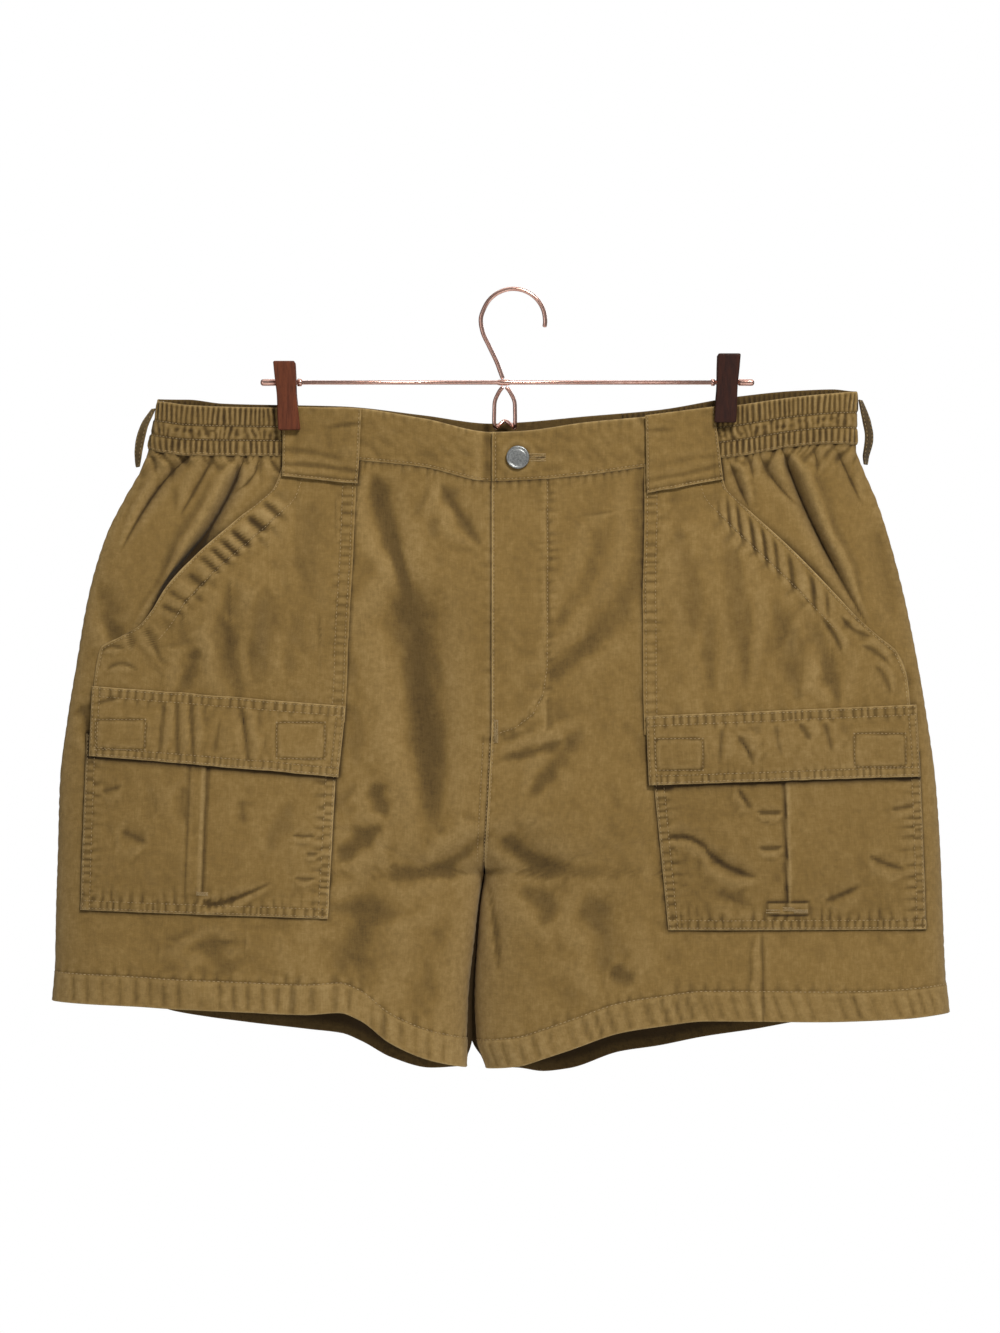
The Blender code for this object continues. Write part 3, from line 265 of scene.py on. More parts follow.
def crease_depth(rows, x, z):
    """How far the creases push the cloth in: a trough along a bent line, with a raised lip beside it."""
    total = np.zeros(np.shape(x))
    for x0, z0, xm, zm, x1, z1, width, depth, lip in rows:
        reach = 3.4 * width
        near = (x > min(x0, xm, x1) - reach) & (x < max(x0, xm, x1) + reach)
        near &= (z > min(z0, zm, z1) - reach) & (z < max(z0, zm, z1) + reach)
        if not near.any():
            continue
        px, pz = x[near], z[near]
        bend = np.linspace(0, 1, 9)
        cx, cz = 2 * xm - (x0 + x1) / 2, 2 * zm - (z0 + z1) / 2
        lx = x0 * (1 - bend) ** 2 + 2 * cx * bend * (1 - bend) + x1 * bend**2
        lz = z0 * (1 - bend) ** 2 + 2 * cz * bend * (1 - bend) + z1 * bend**2
        best = np.full(px.shape, 1e9)
        off, along = np.zeros(px.shape), np.zeros(px.shape)
        for k in range(8):
            dx, dz = lx[k + 1] - lx[k], lz[k + 1] - lz[k]
            size = math.hypot(dx, dz)
            t = ((px - lx[k]) * dx + (pz - lz[k]) * dz) / size**2
            held = np.clip(t, -1.0 if k == 0 else 0.0, 2.0 if k == 7 else 1.0)
            gap = np.hypot(px - lx[k] - held * dx, pz - lz[k] - held * dz)
            take = gap < best
            side = ((px - lx[k]) * dz - (pz - lz[k]) * dx) / size
            off = np.where(take, side, off)
            along = np.where(take, (k + held) / 8, along)
            best = np.where(take, gap, best)
        ends = ease((along + 0.12) / 0.34) * ease((1.12 - along) / 0.5)
        wobble = width * (0.4 + 0.6 * ends) * (1 + 0.18 * noise(along * 5, 0, int(abs(x0) + abs(z0))))
        keen = 0.7 * min(max((8.0 - width) / 3.0, 0.0), 1.0)
        trough = keen * np.exp(-np.abs(off) / (0.62 * wobble)) + (1 - keen) * bell(off, 1.25 * wobble)
        side = off if lip > 0 else -off
        ridge = bell(side - 1.9 * wobble, 1.2 * wobble)
        total[near] += ends * (depth * trough - abs(lip) * ridge)
    return total


CREASES = {FRONT: FRONT_CREASES, BACK: BACK_CREASES}


def drape(half, face, x, z, hips=True):
    """Fold depth plus the soft unevenness of cloth that has been washed and worn."""
    seed = 10 * face + (half > 0)
    soft = 0.9 * noise(x / 46, z / 70, 3 + seed) + 0.4 * noise(x / 21, z / 33, 5 + seed)
    soft += 0.14 * noise(x / 8.5 + z / 30, z / 12, 7 + seed)
    folds = FOLD_SCALE * crease_depth(CREASES[face], x, z)
    if hips and face == FRONT:
        folds += HIP_SCALE * crease_depth(HIP_CREASES, x, z)
    return folds + soft


def cloth_y(half, face, x, z, hips=True):
    """Depth of the cloth's middle surface with its folds."""
    y, hold = smooth_y(half, face, x, z)
    push = drape(half, face, np.asarray(x, float), np.asarray(z, float), hips) * hold
    return y + push if face == FRONT else y - push


def lifted(half, x, z, out):
    """Points of what is sewn on a front, moved out from it; these pieces bridge the folds of the hips."""
    def at(x, z):
        return cloth_y(half, FRONT, x, z, hips=False)

    y = at(x, z)
    step = 1.5
    slope_x = (at(x + step, z) - at(x - step, z)) / (2 * step)
    slope_z = (at(x, z + step) - at(x, z - step)) / (2 * step)
    normal = np.stack([slope_x, -np.ones_like(y), slope_z], axis=-1)
    normal /= np.linalg.norm(normal, axis=-1, keepdims=True)
    return np.stack([x, y, z], axis=-1) + normal * np.asarray(out)[..., None]


HEIGHTS = np.unique(np.concatenate([np.linspace(-640, -66, 232), [CROTCH_HEIGHT, CROTCH_HEIGHT - 0.5]]))
SHARES = np.linspace(0, 1, 161)


def sheet_table(half, face):
    """Places at even steps of cloth across a panel, at each height."""
    turn = (1 - np.cos(np.linspace(0, math.pi, 321))) / 2
    xs, ys = [], []
    for z in HEIGHTS:
        start, outer = float(section_start(half, face, z)), float(side_at[half](z))
        x = start + (outer - start) * turn
        y = smooth_y(half, face, x, np.full_like(x, z))[0]
        run = path_run(x, y)
        xs.append(np.interp(SHARES * run[-1], run, x))
        ys.append(np.interp(SHARES * run[-1], run, y))
    return np.array(xs), np.array(ys)


SHEETS = {(h, f): sheet_table(h, f) for h in (LEFT, RIGHT) for f in (FRONT, BACK)}


def on_sheet(half, face, share, z):
    """Across and depth at a share of a panel's width."""
    xs, ys = SHEETS[(half, face)]
    share, z = np.broadcast_arrays(np.asarray(share, float), np.asarray(z, float))
    i = np.clip(np.searchsorted(HEIGHTS, z) - 1, 0, len(HEIGHTS) - 2)
    j = np.clip((share * (len(SHARES) - 1)).astype(int), 0, len(SHARES) - 2)
    a = (z - HEIGHTS[i]) / (HEIGHTS[i + 1] - HEIGHTS[i])
    b = share * (len(SHARES) - 1) - j

    def blend(table):
        low = table[i, j] * (1 - b) + table[i, j + 1] * b
        high = table[i + 1, j] * (1 - b) + table[i + 1, j + 1] * b
        return low * (1 - a) + high * a

    return blend(xs), blend(ys)


def between_edges(half, face, share, drop, upper, lower):
    """Grid of points on a panel between two edges, given as heights at each place across."""
    drop = np.repeat(np.asarray(drop, float)[:, None], np.shape(share)[-1], axis=1)
    share = np.broadcast_to(share, drop.shape)
    x, _ = on_sheet(half, face, share, np.full(share.shape, -300.0))
    for _ in range(30):
        z = upper(x) + drop * (lower(x) - upper(x))
        x = 0.5 * x + 0.5 * on_sheet(half, face, share, z)[0]
    x, y = on_sheet(half, face, share, z)
    return np.stack([x, y, z], axis=-1)


def share_of(half, face, x, z):
    """The share of a panel's width at which a place lies."""
    low, high = np.zeros(np.shape(x)), np.ones(np.shape(x))
    for _ in range(40):
        mid = (low + high) / 2
        further = (x - on_sheet(half, face, mid, z)[0]) * half > 0
        low, high = np.where(further, mid, low), np.where(further, high, mid)
    return (low + high) / 2


# ---------------- finishes
def set_inputs(node, values):
    for label, value in values.items():
        node.inputs[label].default_value = value


def make_group(name, inputs, outputs, tree_kind="ShaderNodeTree"):
    group = bpy.data.node_groups.new(name, tree_kind)
    for label, kind, value in inputs:
        socket = group.interface.new_socket(label, in_out="INPUT", socket_type="NodeSocket" + kind)
        if value is not None:
            socket.default_value = value
    for label, kind in outputs:
        group.interface.new_socket(label, in_out="OUTPUT", socket_type="NodeSocket" + kind)
    return group, group.nodes.new("NodeGroupInput"), group.nodes.new("NodeGroupOutput")


def math_node(tree, operation, first, second=None):
    node = tree.nodes.new("ShaderNodeMath")
    node.operation = operation
    for socket, value in zip(node.inputs, (first, second)):
        if isinstance(value, (int, float)):
            socket.default_value = value
        elif value is not None:
            tree.links.new(value, socket)
    return node.outputs[0]


def noise_node(tree, vector, scale, detail, rough=0.5, stretch=None):
    if stretch:
        mapping = tree.nodes.new("ShaderNodeMapping")
        mapping.inputs["Scale"].default_value = stretch
        tree.links.new(vector, mapping.inputs["Vector"])
        vector = mapping.outputs["Vector"]
    node = tree.nodes.new("ShaderNodeTexNoise")
    set_inputs(node, {"Scale": scale, "Detail": detail, "Roughness": rough})
    tree.links.new(vector, node.inputs["Vector"])
    return node.outputs["Fac"]


def mix_colour(tree, factor, first, second):
    node = tree.nodes.new("ShaderNodeMix")
    node.data_type = "RGBA"
    for socket, value in ((node.inputs[0], factor), (node.inputs[6], first), (node.inputs[7], second)):
        if isinstance(value, (int, float, tuple)):
            socket.default_value = value
        else:
            tree.links.new(value, socket)
    return node.outputs[2]


def remap(tree, value, low, high, to_low, to_high):
    node = tree.nodes.new("ShaderNodeMapRange")
    tree.links.new(value, node.inputs["Value"])
    set_inputs(node, {"From Min": low, "From Max": high, "To Min": to_low, "To Max": to_high})
    return node.outputs["Result"]


def twill_group():
    """Washed cotton twill: ribs, slubs, blotchy dye, paler where worn and with a painted highlight on rims
    and bulges, and darkened with painted shade in the creases and hollows.
    """
    group, given, out = make_group(
        "washed_twill",
        (("Cut", "Vector", None), ("Place", "Vector", None), ("Wear_and_highlight", "Float", 0.0),
         ("Shade", "Float", 0.0), ("Dye", "Color", (0.2, 0.13, 0.05, 1)),
         ("Faded_and_lit", "Color", (0.35, 0.25, 0.12, 1)), ("Deep", "Color", (0.1, 0.06, 0.02, 1)),
         ("Rib Pitch", "Float", 0.0009)),
        (("Colour", "Color"), ("Rough", "Float"), ("Height", "Float")))

    def calc(operation, first, second=None):
        return math_node(group, operation, first, second)

    cut, place = given.outputs["Cut"], given.outputs["Place"]
    split = group.nodes.new("ShaderNodeSeparateXYZ")
    group.links.new(cut, split.inputs[0])
    slant = calc("ADD", split.outputs[0], calc("MULTIPLY", split.outputs[1], 0.62))
    turns = calc("DIVIDE", slant, given.outputs["Rib Pitch"])
    ribs = calc("SINE", calc("MULTIPLY", turns, 2 * math.pi))
    weft = calc("SINE", calc("MULTIPLY", split.outputs[1], 2 * math.pi / 0.0011))
    slubs = noise_node(group, cut, 1.0, 2, 0.5, (900.0, 90.0, 1.0))
    across = noise_node(group, cut, 1.0, 2, 0.5, (110.0, 1000.0, 1.0))
    fuzz = noise_node(group, place, 620.0, 3, 0.6)
    grain = noise_node(group, place, 210.0, 3, 0.65)
    blotch = noise_node(group, place, 34.0, 3, 0.6)
    wash = noise_node(group, place, 9.0, 3, 0.55)
    uneven = remap(group, blotch, 0.3, 0.7, -0.05, 0.05)
    for part, amount in ((wash, 0.08), (grain, 0.13), (slubs, 0.07), (across, 0.05)):
        uneven = calc("ADD", uneven, remap(group, part, 0.3, 0.7, -amount, amount))
    uneven = calc("ADD", uneven, remap(group, ribs, -1.0, 1.0, -0.05, 0.05))
    # the pale input is partly worn cloth and partly painted highlight; the Shade input is painted shade
    worn = calc("MULTIPLY", given.outputs["Wear_and_highlight"], remap(group, grain, 0.3, 0.7, 0.65, 1.15))
    light = calc("ADD", calc("MAXIMUM", uneven, 0.0), worn)
    dark = calc("ADD", calc("MAXIMUM", calc("MULTIPLY", uneven, -1.0), 0.0), given.outputs["Shade"])
    light, dark = calc("MINIMUM", light, 1.0), calc("MINIMUM", dark, 1.0)
    tint = mix_colour(group, light, given.outputs["Dye"], given.outputs["Faded_and_lit"])
    tint = mix_colour(group, dark, tint, given.outputs["Deep"])
    group.links.new(tint, out.inputs["Colour"])
    group.links.new(remap(group, grain, 0.2, 0.8, 0.82, 0.97), out.inputs["Rough"])
    height = calc("ADD", calc("MULTIPLY", ribs, 0.35), calc("MULTIPLY", weft, 0.2))
    for part, amount in ((fuzz, 0.9), (grain, 2.2)):
        height = calc("ADD", height, calc("MULTIPLY", part, amount))
    group.links.new(height, out.inputs["Height"])
    return group


TWILL = twill_group()
# the cloth's dye; a pale colour for random tone, worn places and painted highlight; a deep colour for
# random tone and painted shade
DYE = (0.226, 0.138, 0.0395, 1.0)
FADED_AND_LIT = (0.44, 0.305, 0.130, 1.0)
DEEP = (0.044, 0.025, 0.008, 1.0)


def plain_material(name, rough, metal=0.0, specular=0.5, sheen=0.0):
    material = bpy.data.materials.new(name)
    material.use_nodes = True
    shader = material.node_tree.nodes["Principled BSDF"]
    set_inputs(shader, {"Roughness": rough, "Metallic": metal, "Specular IOR Level": specular})
    if sheen:
        set_inputs(shader, {"Sheen Weight": sheen, "Sheen Roughness": 0.5,
                            "Sheen Tint": (1.0, 0.9, 0.72, 1.0)})
    return material, material.node_tree, shader


def object_place(tree):
    return tree.nodes.new("ShaderNodeTexCoord").outputs["Object"]


def add_bump(tree, shader, height, strength, distance):
    bump = tree.nodes.new("ShaderNodeBump")
    set_inputs(bump, {"Strength": strength, "Distance": distance})
    tree.links.new(height, bump.inputs["Height"])
    tree.links.new(bump.outputs["Normal"], shader.inputs["Normal"])


def twill_material(name, dye=DYE, pitch=0.0009):
    material, tree, shader = plain_material(name, 0.9, specular=0.18, sheen=0.12)
    group = tree.nodes.new("ShaderNodeGroup")
    group.node_tree = TWILL
    cut = tree.nodes.new("ShaderNodeUVMap")
    cut.uv_map = "cut"
    tree.links.new(cut.outputs["UV"], group.inputs["Cut"])
    tree.links.new(object_place(tree), group.inputs["Place"])
    # each piece's pale attribute (worn places plus painted highlight) and its painted shade attribute
    for label in ("Wear_and_highlight", "Shade"):
        attribute = tree.nodes.new("ShaderNodeAttribute")
        attribute.attribute_name = label.lower()
        tree.links.new(attribute.outputs["Fac"], group.inputs[label])
    set_inputs(group, {"Dye": dye, "Faded_and_lit": FADED_AND_LIT, "Deep": DEEP, "Rib Pitch": pitch})
    tree.links.new(group.outputs["Colour"], shader.inputs["Base Color"])
    tree.links.new(group.outputs["Rough"], shader.inputs["Roughness"])
    add_bump(tree, shader, group.outputs["Height"], 0.55, 0.0003)
    return material


def thread_material(name, light, dark):
    material, tree, shader = plain_material(name, 0.75, specular=0.25)
    twist = noise_node(tree, object_place(tree), 900.0, 2)
    tint = mix_colour(tree, remap(tree, twist, 0.3, 0.7, 0.0, 1.0), dark, light)
    tree.links.new(tint, shader.inputs["Base Color"])
    return material


def metal_material(name, bright, dull, rough_low, rough_high, scale=260.0, metal=1.0):
    material, tree, shader = plain_material(name, rough_low, metal=metal)
    place = object_place(tree)
    tarnish = noise_node(tree, place, scale, 4, 0.6)
    fine = noise_node(tree, place, scale * 9, 2)
    tint = mix_colour(tree, remap(tree, tarnish, 0.35, 0.68, 0.0, 1.0), bright, dull)
    tree.links.new(tint, shader.inputs["Base Color"])
    tree.links.new(remap(tree, tarnish, 0.3, 0.7, rough_low, rough_high), shader.inputs["Roughness"])
    add_bump(tree, shader, fine, 0.15, 0.0001)
    return material


def wood_material(name, base, vein, seed):
    material, tree, shader = plain_material(name, 0.55, specular=0.22)
    shift = tree.nodes.new("ShaderNodeMapping")
    set_inputs(shift, {"Location": (seed, 0.0, seed * 0.7), "Scale": (1.0, 1.0, 0.09)})
    tree.links.new(object_place(tree), shift.inputs["Vector"])
    rings = noise_node(tree, shift.outputs["Vector"], 330.0, 4, 0.6)
    pores = noise_node(tree, shift.outputs["Vector"], 1500.0, 2, 0.5)
    tint = mix_colour(tree, remap(tree, rings, 0.35, 0.68, 0.0, 1.0), base, vein)
    pits = remap(tree, pores, 0.56, 0.72, 0.0, 0.55)
    tint = mix_colour(tree, pits, tint, tuple(0.45 * c for c in vein[:3]) + (1.0,))
    tree.links.new(tint, shader.inputs["Base Color"])
    tree.links.new(remap(tree, rings, 0.3, 0.7, 0.42, 0.6), shader.inputs["Roughness"])
    add_bump(tree, shader, math_node(tree, "SUBTRACT", rings, pits), 0.3, 0.0002)
    return material


CLOTH = twill_material("khaki_twill")
TAPE = twill_material("zip_tape", dye=(0.15, 0.10, 0.045, 1.0), pitch=0.0014)
THREAD = thread_material("tan_thread", (0.47, 0.35, 0.18, 1.0), (0.30, 0.20, 0.085, 1.0))
COPPER = metal_material("rose_copper", (0.86, 0.55, 0.46, 1.0), (0.70, 0.38, 0.30, 1.0), 0.16, 0.30)
SILVER = metal_material("antique_silver", (0.42, 0.43, 0.42, 1.0), (0.16, 0.165, 0.165, 1.0), 0.30, 0.50,
                        700.0, 0.85)
BRASS = metal_material("zip_brass", (0.55, 0.40, 0.18, 1.0), (0.30, 0.20, 0.08, 1.0), 0.30, 0.50)
# the right clip gets a darker copy of the same wood: painted shade on that clip
RED_WOOD = wood_material("red_brown_wood", (0.150, 0.040, 0.016, 1.0), (0.085, 0.022, 0.009, 1.0), 0.0)
SHADED_WOOD = wood_material("dark_brown_wood", (0.046, 0.014, 0.008, 1.0), (0.022, 0.007, 0.005, 1.0), 0.31)


# ---------------- cloth walls
def add_object(name, data):
    thing = bpy.data.objects.new(name, data)
    bpy.context.scene.collection.objects.link(thing)
    return thing


def add_look(name, mesh):
    piece = add_object(name, mesh)
    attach(piece, "root")
    return piece


def marks(length, step, edges=(0.45, 1.3), fine=()):
    """Places from 0 to 1 along a length in mm: close together at both ends and in the fine stretches."""
    places = set()
    inner = max(edges) if edges else 0.0
    places.update(np.linspace(inner, length - inner, max(2, int(round((length - 2 * inner) / step)) + 1)))
    for start, end, near in fine:
        places = {p for p in places if p <= start or p >= end}
        places.update(np.linspace(start, end, max(2, int(round((end - start) / near)) + 1)))
    kept = []
    for p in sorted(places):
        if inner - 1e-6 <= p <= length - inner + 1e-6 and (not kept or p - kept[-1] > 0.35):
            kept.append(p)
    rims = [0.0] + list(edges[:-1])
    kept = rims + kept + [length - e for e in reversed(rims)]
    return np.array(kept) / length


def run_lengths(points, axis):
    step = np.linalg.norm(np.diff(points, axis=axis), axis=-1)
    total = np.cumsum(step, axis=axis)
    pad = [(0, 0), (0, 0)]
    pad[axis] = (1, 0)
    return np.pad(total, pad)


def grid_normals(points, outward):
    """Unit normals of a grid of points; outward is a rough direction for the middle one."""
    normal = np.cross(np.gradient(points, axis=0), np.gradient(points, axis=1))
    normal /= np.maximum(np.linalg.norm(normal, axis=-1, keepdims=True), 1e-9)
    rows, cols = points.shape[:2]
    return normal if np.dot(normal[rows // 2, cols // 2], outward) > 0 else -normal


def edge_distance(points):
    """Distance of each grid point from the sheet's first column, last column, first row and last row."""
    across, down = run_lengths(points, 1), run_lengths(points, 0)
    return across, across[:, -1:] - across, down, down[-1:] - down


def window_mean(values, rows, cols):
    """Mean of a grid over a window of rows and columns, carried on past its edges."""
    for axis, half_width in ((0, rows), (1, cols)):
        half_width = min(half_width, values.shape[axis] - 2)
        pad = [(0, 0)] * values.ndim
        pad[axis] = (half_width + 1, half_width)
        sums = np.cumsum(np.pad(values, pad, mode="reflect", reflect_type="odd"), axis=axis)
        count = 2 * half_width + 1
        high = np.take(sums, np.arange(count, sums.shape[axis]), axis=axis)
        low = np.take(sums, np.arange(0, sums.shape[axis] - count), axis=axis)
        values = (high - low) / count
    return values


def bulge_wear_and_hollow_shade(skin, normal):
    """Above 0 where the cloth bulges, made pale: partly rubbed cloth, partly painted highlight; below 0 in
    its hollows and creases, darkened with painted shade.
    """
    tone = 0.0
    step_down = float(np.median(np.linalg.norm(np.diff(skin, axis=0), axis=-1)))
    step_over = float(np.median(np.linalg.norm(np.diff(skin, axis=1), axis=-1)))
    for reach, full, amount in ((2.2, 0.14, 0.36), (6.0, 0.8, 0.17)):
        rows, cols = max(1, round(reach / step_down)), max(1, round(reach / step_over))
        level = window_mean(window_mean(skin, rows, cols), max(1, rows // 2), max(1, cols // 2))
        tone += amount * np.tanh(((skin - level) * normal).sum(-1) / full)
    return tone


def cloth(name, points, normal, outer, inner, wear_and_highlight=0.0, shade=0.0, soft_edge=0.8, material=None,
          round_edges=(1, 1, 1, 1), lining_shade=None):
    """A closed thin shell: the middle surface moved out and in along its normals, its rims rounded over."""
    rows, cols = points.shape[:2]
    outer = np.broadcast_to(np.asarray(outer, float), (rows, cols))
    inner = np.broadcast_to(np.asarray(inner, float), (rows, cols))
    wall = np.maximum(outer - inner, 0.2)
    near = np.full((rows, cols), 9.0)
    for rounded, distance in zip(round_edges, edge_distance(points)):
        if rounded:
            near = np.minimum(near, distance)
    bend = np.clip(1 - near / soft_edge, 0, 1)
    drop = wall * 0.46 * (1 - np.sqrt(1 - bend**2))
    skin = points + normal * (outer - drop)[..., None]
    lining = points + normal * (inner + drop)[..., None]
    # bulges paler (rubbed cloth plus painted highlight), hollows and creases darker with painted shade
    tone = bulge_wear_and_hollow_shade(points + normal * outer[..., None], normal)
    wear_and_highlight = np.asarray(wear_and_highlight) + 0.5 * np.maximum(tone, 0)
    shade = np.asarray(shade) + 1.1 * np.maximum(-tone, 0)
    verts = np.concatenate([skin.reshape(-1, 3), lining.reshape(-1, 3)]) * MM
    count = rows * cols
    index = np.arange(count).reshape(rows, cols)
    a, b = index[:-1, :-1].ravel(), index[:-1, 1:].ravel()
    d, e = index[1:, 1:].ravel(), index[1:, :-1].ravel()
    mid_r, mid_c = rows // 2, cols // 2
    facing = np.cross(points[mid_r, mid_c] - points[mid_r, mid_c - 1],
                      points[mid_r, mid_c] - points[mid_r - 1, mid_c])
    forward = np.dot(facing, normal[mid_r, mid_c]) > 0
    rim = np.concatenate([index[0, :-1], index[:-1, -1], index[-1, :0:-1], index[:0:-1, 0]])
    after = np.roll(rim, -1)
    quads = np.concatenate([
        np.stack([a, b, d, e], 1),
        np.stack([a, e, d, b], 1) + count,
        np.stack([after, rim, rim + count, after + count], 1),
    ])
    if not forward:
        quads = quads[:, ::-1]
    mesh = bpy.data.meshes.new(name)
    mesh.vertices.add(len(verts))
    mesh.vertices.foreach_set("co", verts.ravel())
    mesh.loops.add(quads.size)
    mesh.loops.foreach_set("vertex_index", quads.ravel())
    mesh.polygons.add(len(quads))
    mesh.polygons.foreach_set("loop_start", np.arange(0, quads.size, 4))
    mesh.update(calc_edges=True)
    mesh.polygons.foreach_set("use_smooth", np.ones(len(quads), bool))
    across, down = run_lengths(points, 1), run_lengths(points, 0)
    uv = np.stack([across.ravel(), down.ravel()], 1) * MM
    uv = np.concatenate([uv, uv])[quads.ravel()]
    layer = mesh.uv_layers.new(name="cut")
    layer.data.foreach_set("uv", uv.ravel())
    for label, value in (("wear_and_highlight", wear_and_highlight), ("shade", shade)):
        values = np.broadcast_to(np.asarray(value, float), (rows, cols)).ravel()
        # the inner face: no highlight, and darkened with painted shade for the shade inside the garment
        inside = 0.0 * values if label == "wear_and_highlight" else values * 0.4 + 0.62
        if label == "shade" and lining_shade is not None:
            inside = lining_shade.ravel()
        attribute = mesh.attributes.new(label, "FLOAT", "POINT")
        attribute.data.foreach_set("value", np.clip(np.concatenate([values, inside]), 0, 1))
    mesh.materials.append(material or CLOTH)
    mesh.validate()
    return add_look(name, mesh), skin


def cut_piece(solid, points, normal, outer, inner, wear_and_highlight, shade, rests_on, held="hung", fullness=1.0,
              name=None, **finish):
    """One cut piece: its shell, in place of the solid it stands for. Hands on its outer points."""
    piece, skin = cloth(name or "twill_" + solid, points, normal, outer, inner, wear_and_highlight, shade, **finish)
    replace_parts(piece, solid)
    return skin


# ---------------- seams and their puckers
def pucker(along, off, pitch, reach, height, seed):
    """Short ridges across a seam, uneven in size and spacing, that die away from it."""
    phase = along / pitch + 0.55 * noise(along / (2.6 * pitch), 0.0, seed)
    strength = 0.62 + 0.38 * noise(along / (1.7 * pitch), 0.0, seed + 1)
    length = reach * (1 + 0.35 * noise(along / (1.3 * pitch), 0.0, seed + 2))
    pillow = 2 * np.abs(np.sin(math.pi * phase)) - 1.25
    return height * strength * pillow * bell(off, length)


def between(off, low, high, soft=1.2):
    """1 between two distances from a seam, easing to 0 outside them."""
    return ease((off - low) / soft + 0.5) * ease((high - off) / soft + 0.5)


def pinch(off, at, depth, width=0.9):
    """The narrow groove that a row of stitches pulls in."""
    return -depth * bell(off - at, width)


def sewn_edge(along, off, rows, pitch, height, seed, groove=0.22):
    """Relief of a stitched edge: a groove under each row, and puckers between the edge and the last row."""
    last = rows[-1]
    relief = sum(pinch(off, at, groove) for at in rows)
    ridge = pucker(along, 0 * off, pitch, 9.0, height, seed)
    relief += ridge * between(off, 0.9, last + 0.4, 2.0)
    beyond_rows = pucker(along, np.maximum(off - last, 0), pitch * 1.35, 4.0, height * 0.55, seed + 7)
    return relief + beyond_rows * (off > last)


def rim_wear_and_highlight(off, amount=0.75, width=0.9):
    """Pale along an edge: rubbed cloth plus a painted highlight on the rolled rim."""
    return amount * bell(off, width)


def line_frame(x, z, start, end):
    """Distance along a straight edge and away from it."""
    dx, dz = end[0] - start[0], end[1] - start[1]
    size = math.hypot(dx, dz)
    along = ((x - start[0]) * dx + (z - start[1]) * dz) / size
    return along, np.abs((x - start[0]) * dz - (z - start[1]) * dx) / size


def path_frame(x, z, path):
    """Distance along a bent edge and away from it, the latter without a sign."""
    best = np.full(np.shape(x), 1e9)
    along = np.zeros(np.shape(x))
    run = 0.0
    for (ax, az), (bx, bz) in zip(path, path[1:]):
        dx, dz = bx - ax, bz - az
        size = math.hypot(dx, dz)
        t = np.clip(((x - ax) * dx + (z - az) * dz) / size**2, 0, 1)
        gap = np.hypot(x - ax - t * dx, z - az - t * dz)
        take = gap < best
        along = np.where(take, run + t * size, along)
        best = np.where(take, gap, best)
        run += size
    return along, best


# ---------------- stitches
def stitch_tree():
    """Rows of stitches along edges: one short rounded thread at every pitch, turned along its row."""
    tree, given, out = make_group(
        "stitch_rows",
        (("Rows", "Geometry", None), ("Pitch", "Float", 0.003), ("Stitch", "Float", 0.0022),
         ("Thread", "Float", 0.0004), ("Seed", "Int", 1), ("Finish", "Material", None)),
        (("Stitches", "Geometry"),), "GeometryNodeTree")
    curve = tree.nodes.new("GeometryNodeMeshToCurve")
    points = tree.nodes.new("GeometryNodeCurveToPoints")
    points.mode = "LENGTH"
    turn = tree.nodes.new("FunctionNodeAlignRotationToVector")
    turn.axis = "X"
    bead = tree.nodes.new("GeometryNodeMeshIcoSphere")
    set_inputs(bead, {"Radius": 0.5, "Subdivisions": 1})
    smooth = tree.nodes.new("GeometryNodeSetShadeSmooth")
    chance = tree.nodes.new("FunctionNodeRandomValue")
    chance.data_type = "FLOAT"
    set_inputs(chance, {2: 0.86, 3: 1.12})
    longer = tree.nodes.new("ShaderNodeMath")
    longer.operation = "MULTIPLY"
    size = tree.nodes.new("ShaderNodeCombineXYZ")
    place = tree.nodes.new("GeometryNodeInstanceOnPoints")
    real = tree.nodes.new("GeometryNodeRealizeInstances")
    paint = tree.nodes.new("GeometryNodeSetMaterial")
    for source, given_by, taker, taken_as in (
        (given, "Rows", curve, "Mesh"), (curve, "Curve", points, "Curve"),
        (given, "Pitch", points, "Length"), (points, "Points", place, "Points"),
        (points, "Tangent", turn, "Vector"), (turn, "Rotation", place, "Rotation"),
        (bead, "Mesh", smooth, "Geometry"), (smooth, "Geometry", place, "Instance"),
        (given, "Seed", chance, "Seed"), (given, "Stitch", longer, 0), (chance, 1, longer, 1),
        (longer, 0, size, "X"), (given, "Thread", size, "Y"), (given, "Thread", size, "Z"),
        (size, "Vector", place, "Scale"), (place, "Instances", real, "Geometry"),
        (real, "Geometry", paint, "Geometry"), (given, "Finish", paint, "Material"),
        (paint, "Geometry", out, "Stitches"),
    ):
        tree.links.new(source.outputs[given_by], taker.inputs[taken_as])
    return tree


STITCHES = stitch_tree()
ROWS = {}


def add_row(kind, points):
    """Keeps a row of points in mm for the stitches of that kind; the rows are sewn together at the end."""
    ROWS.setdefault(kind, []).append(np.asarray(points, float))


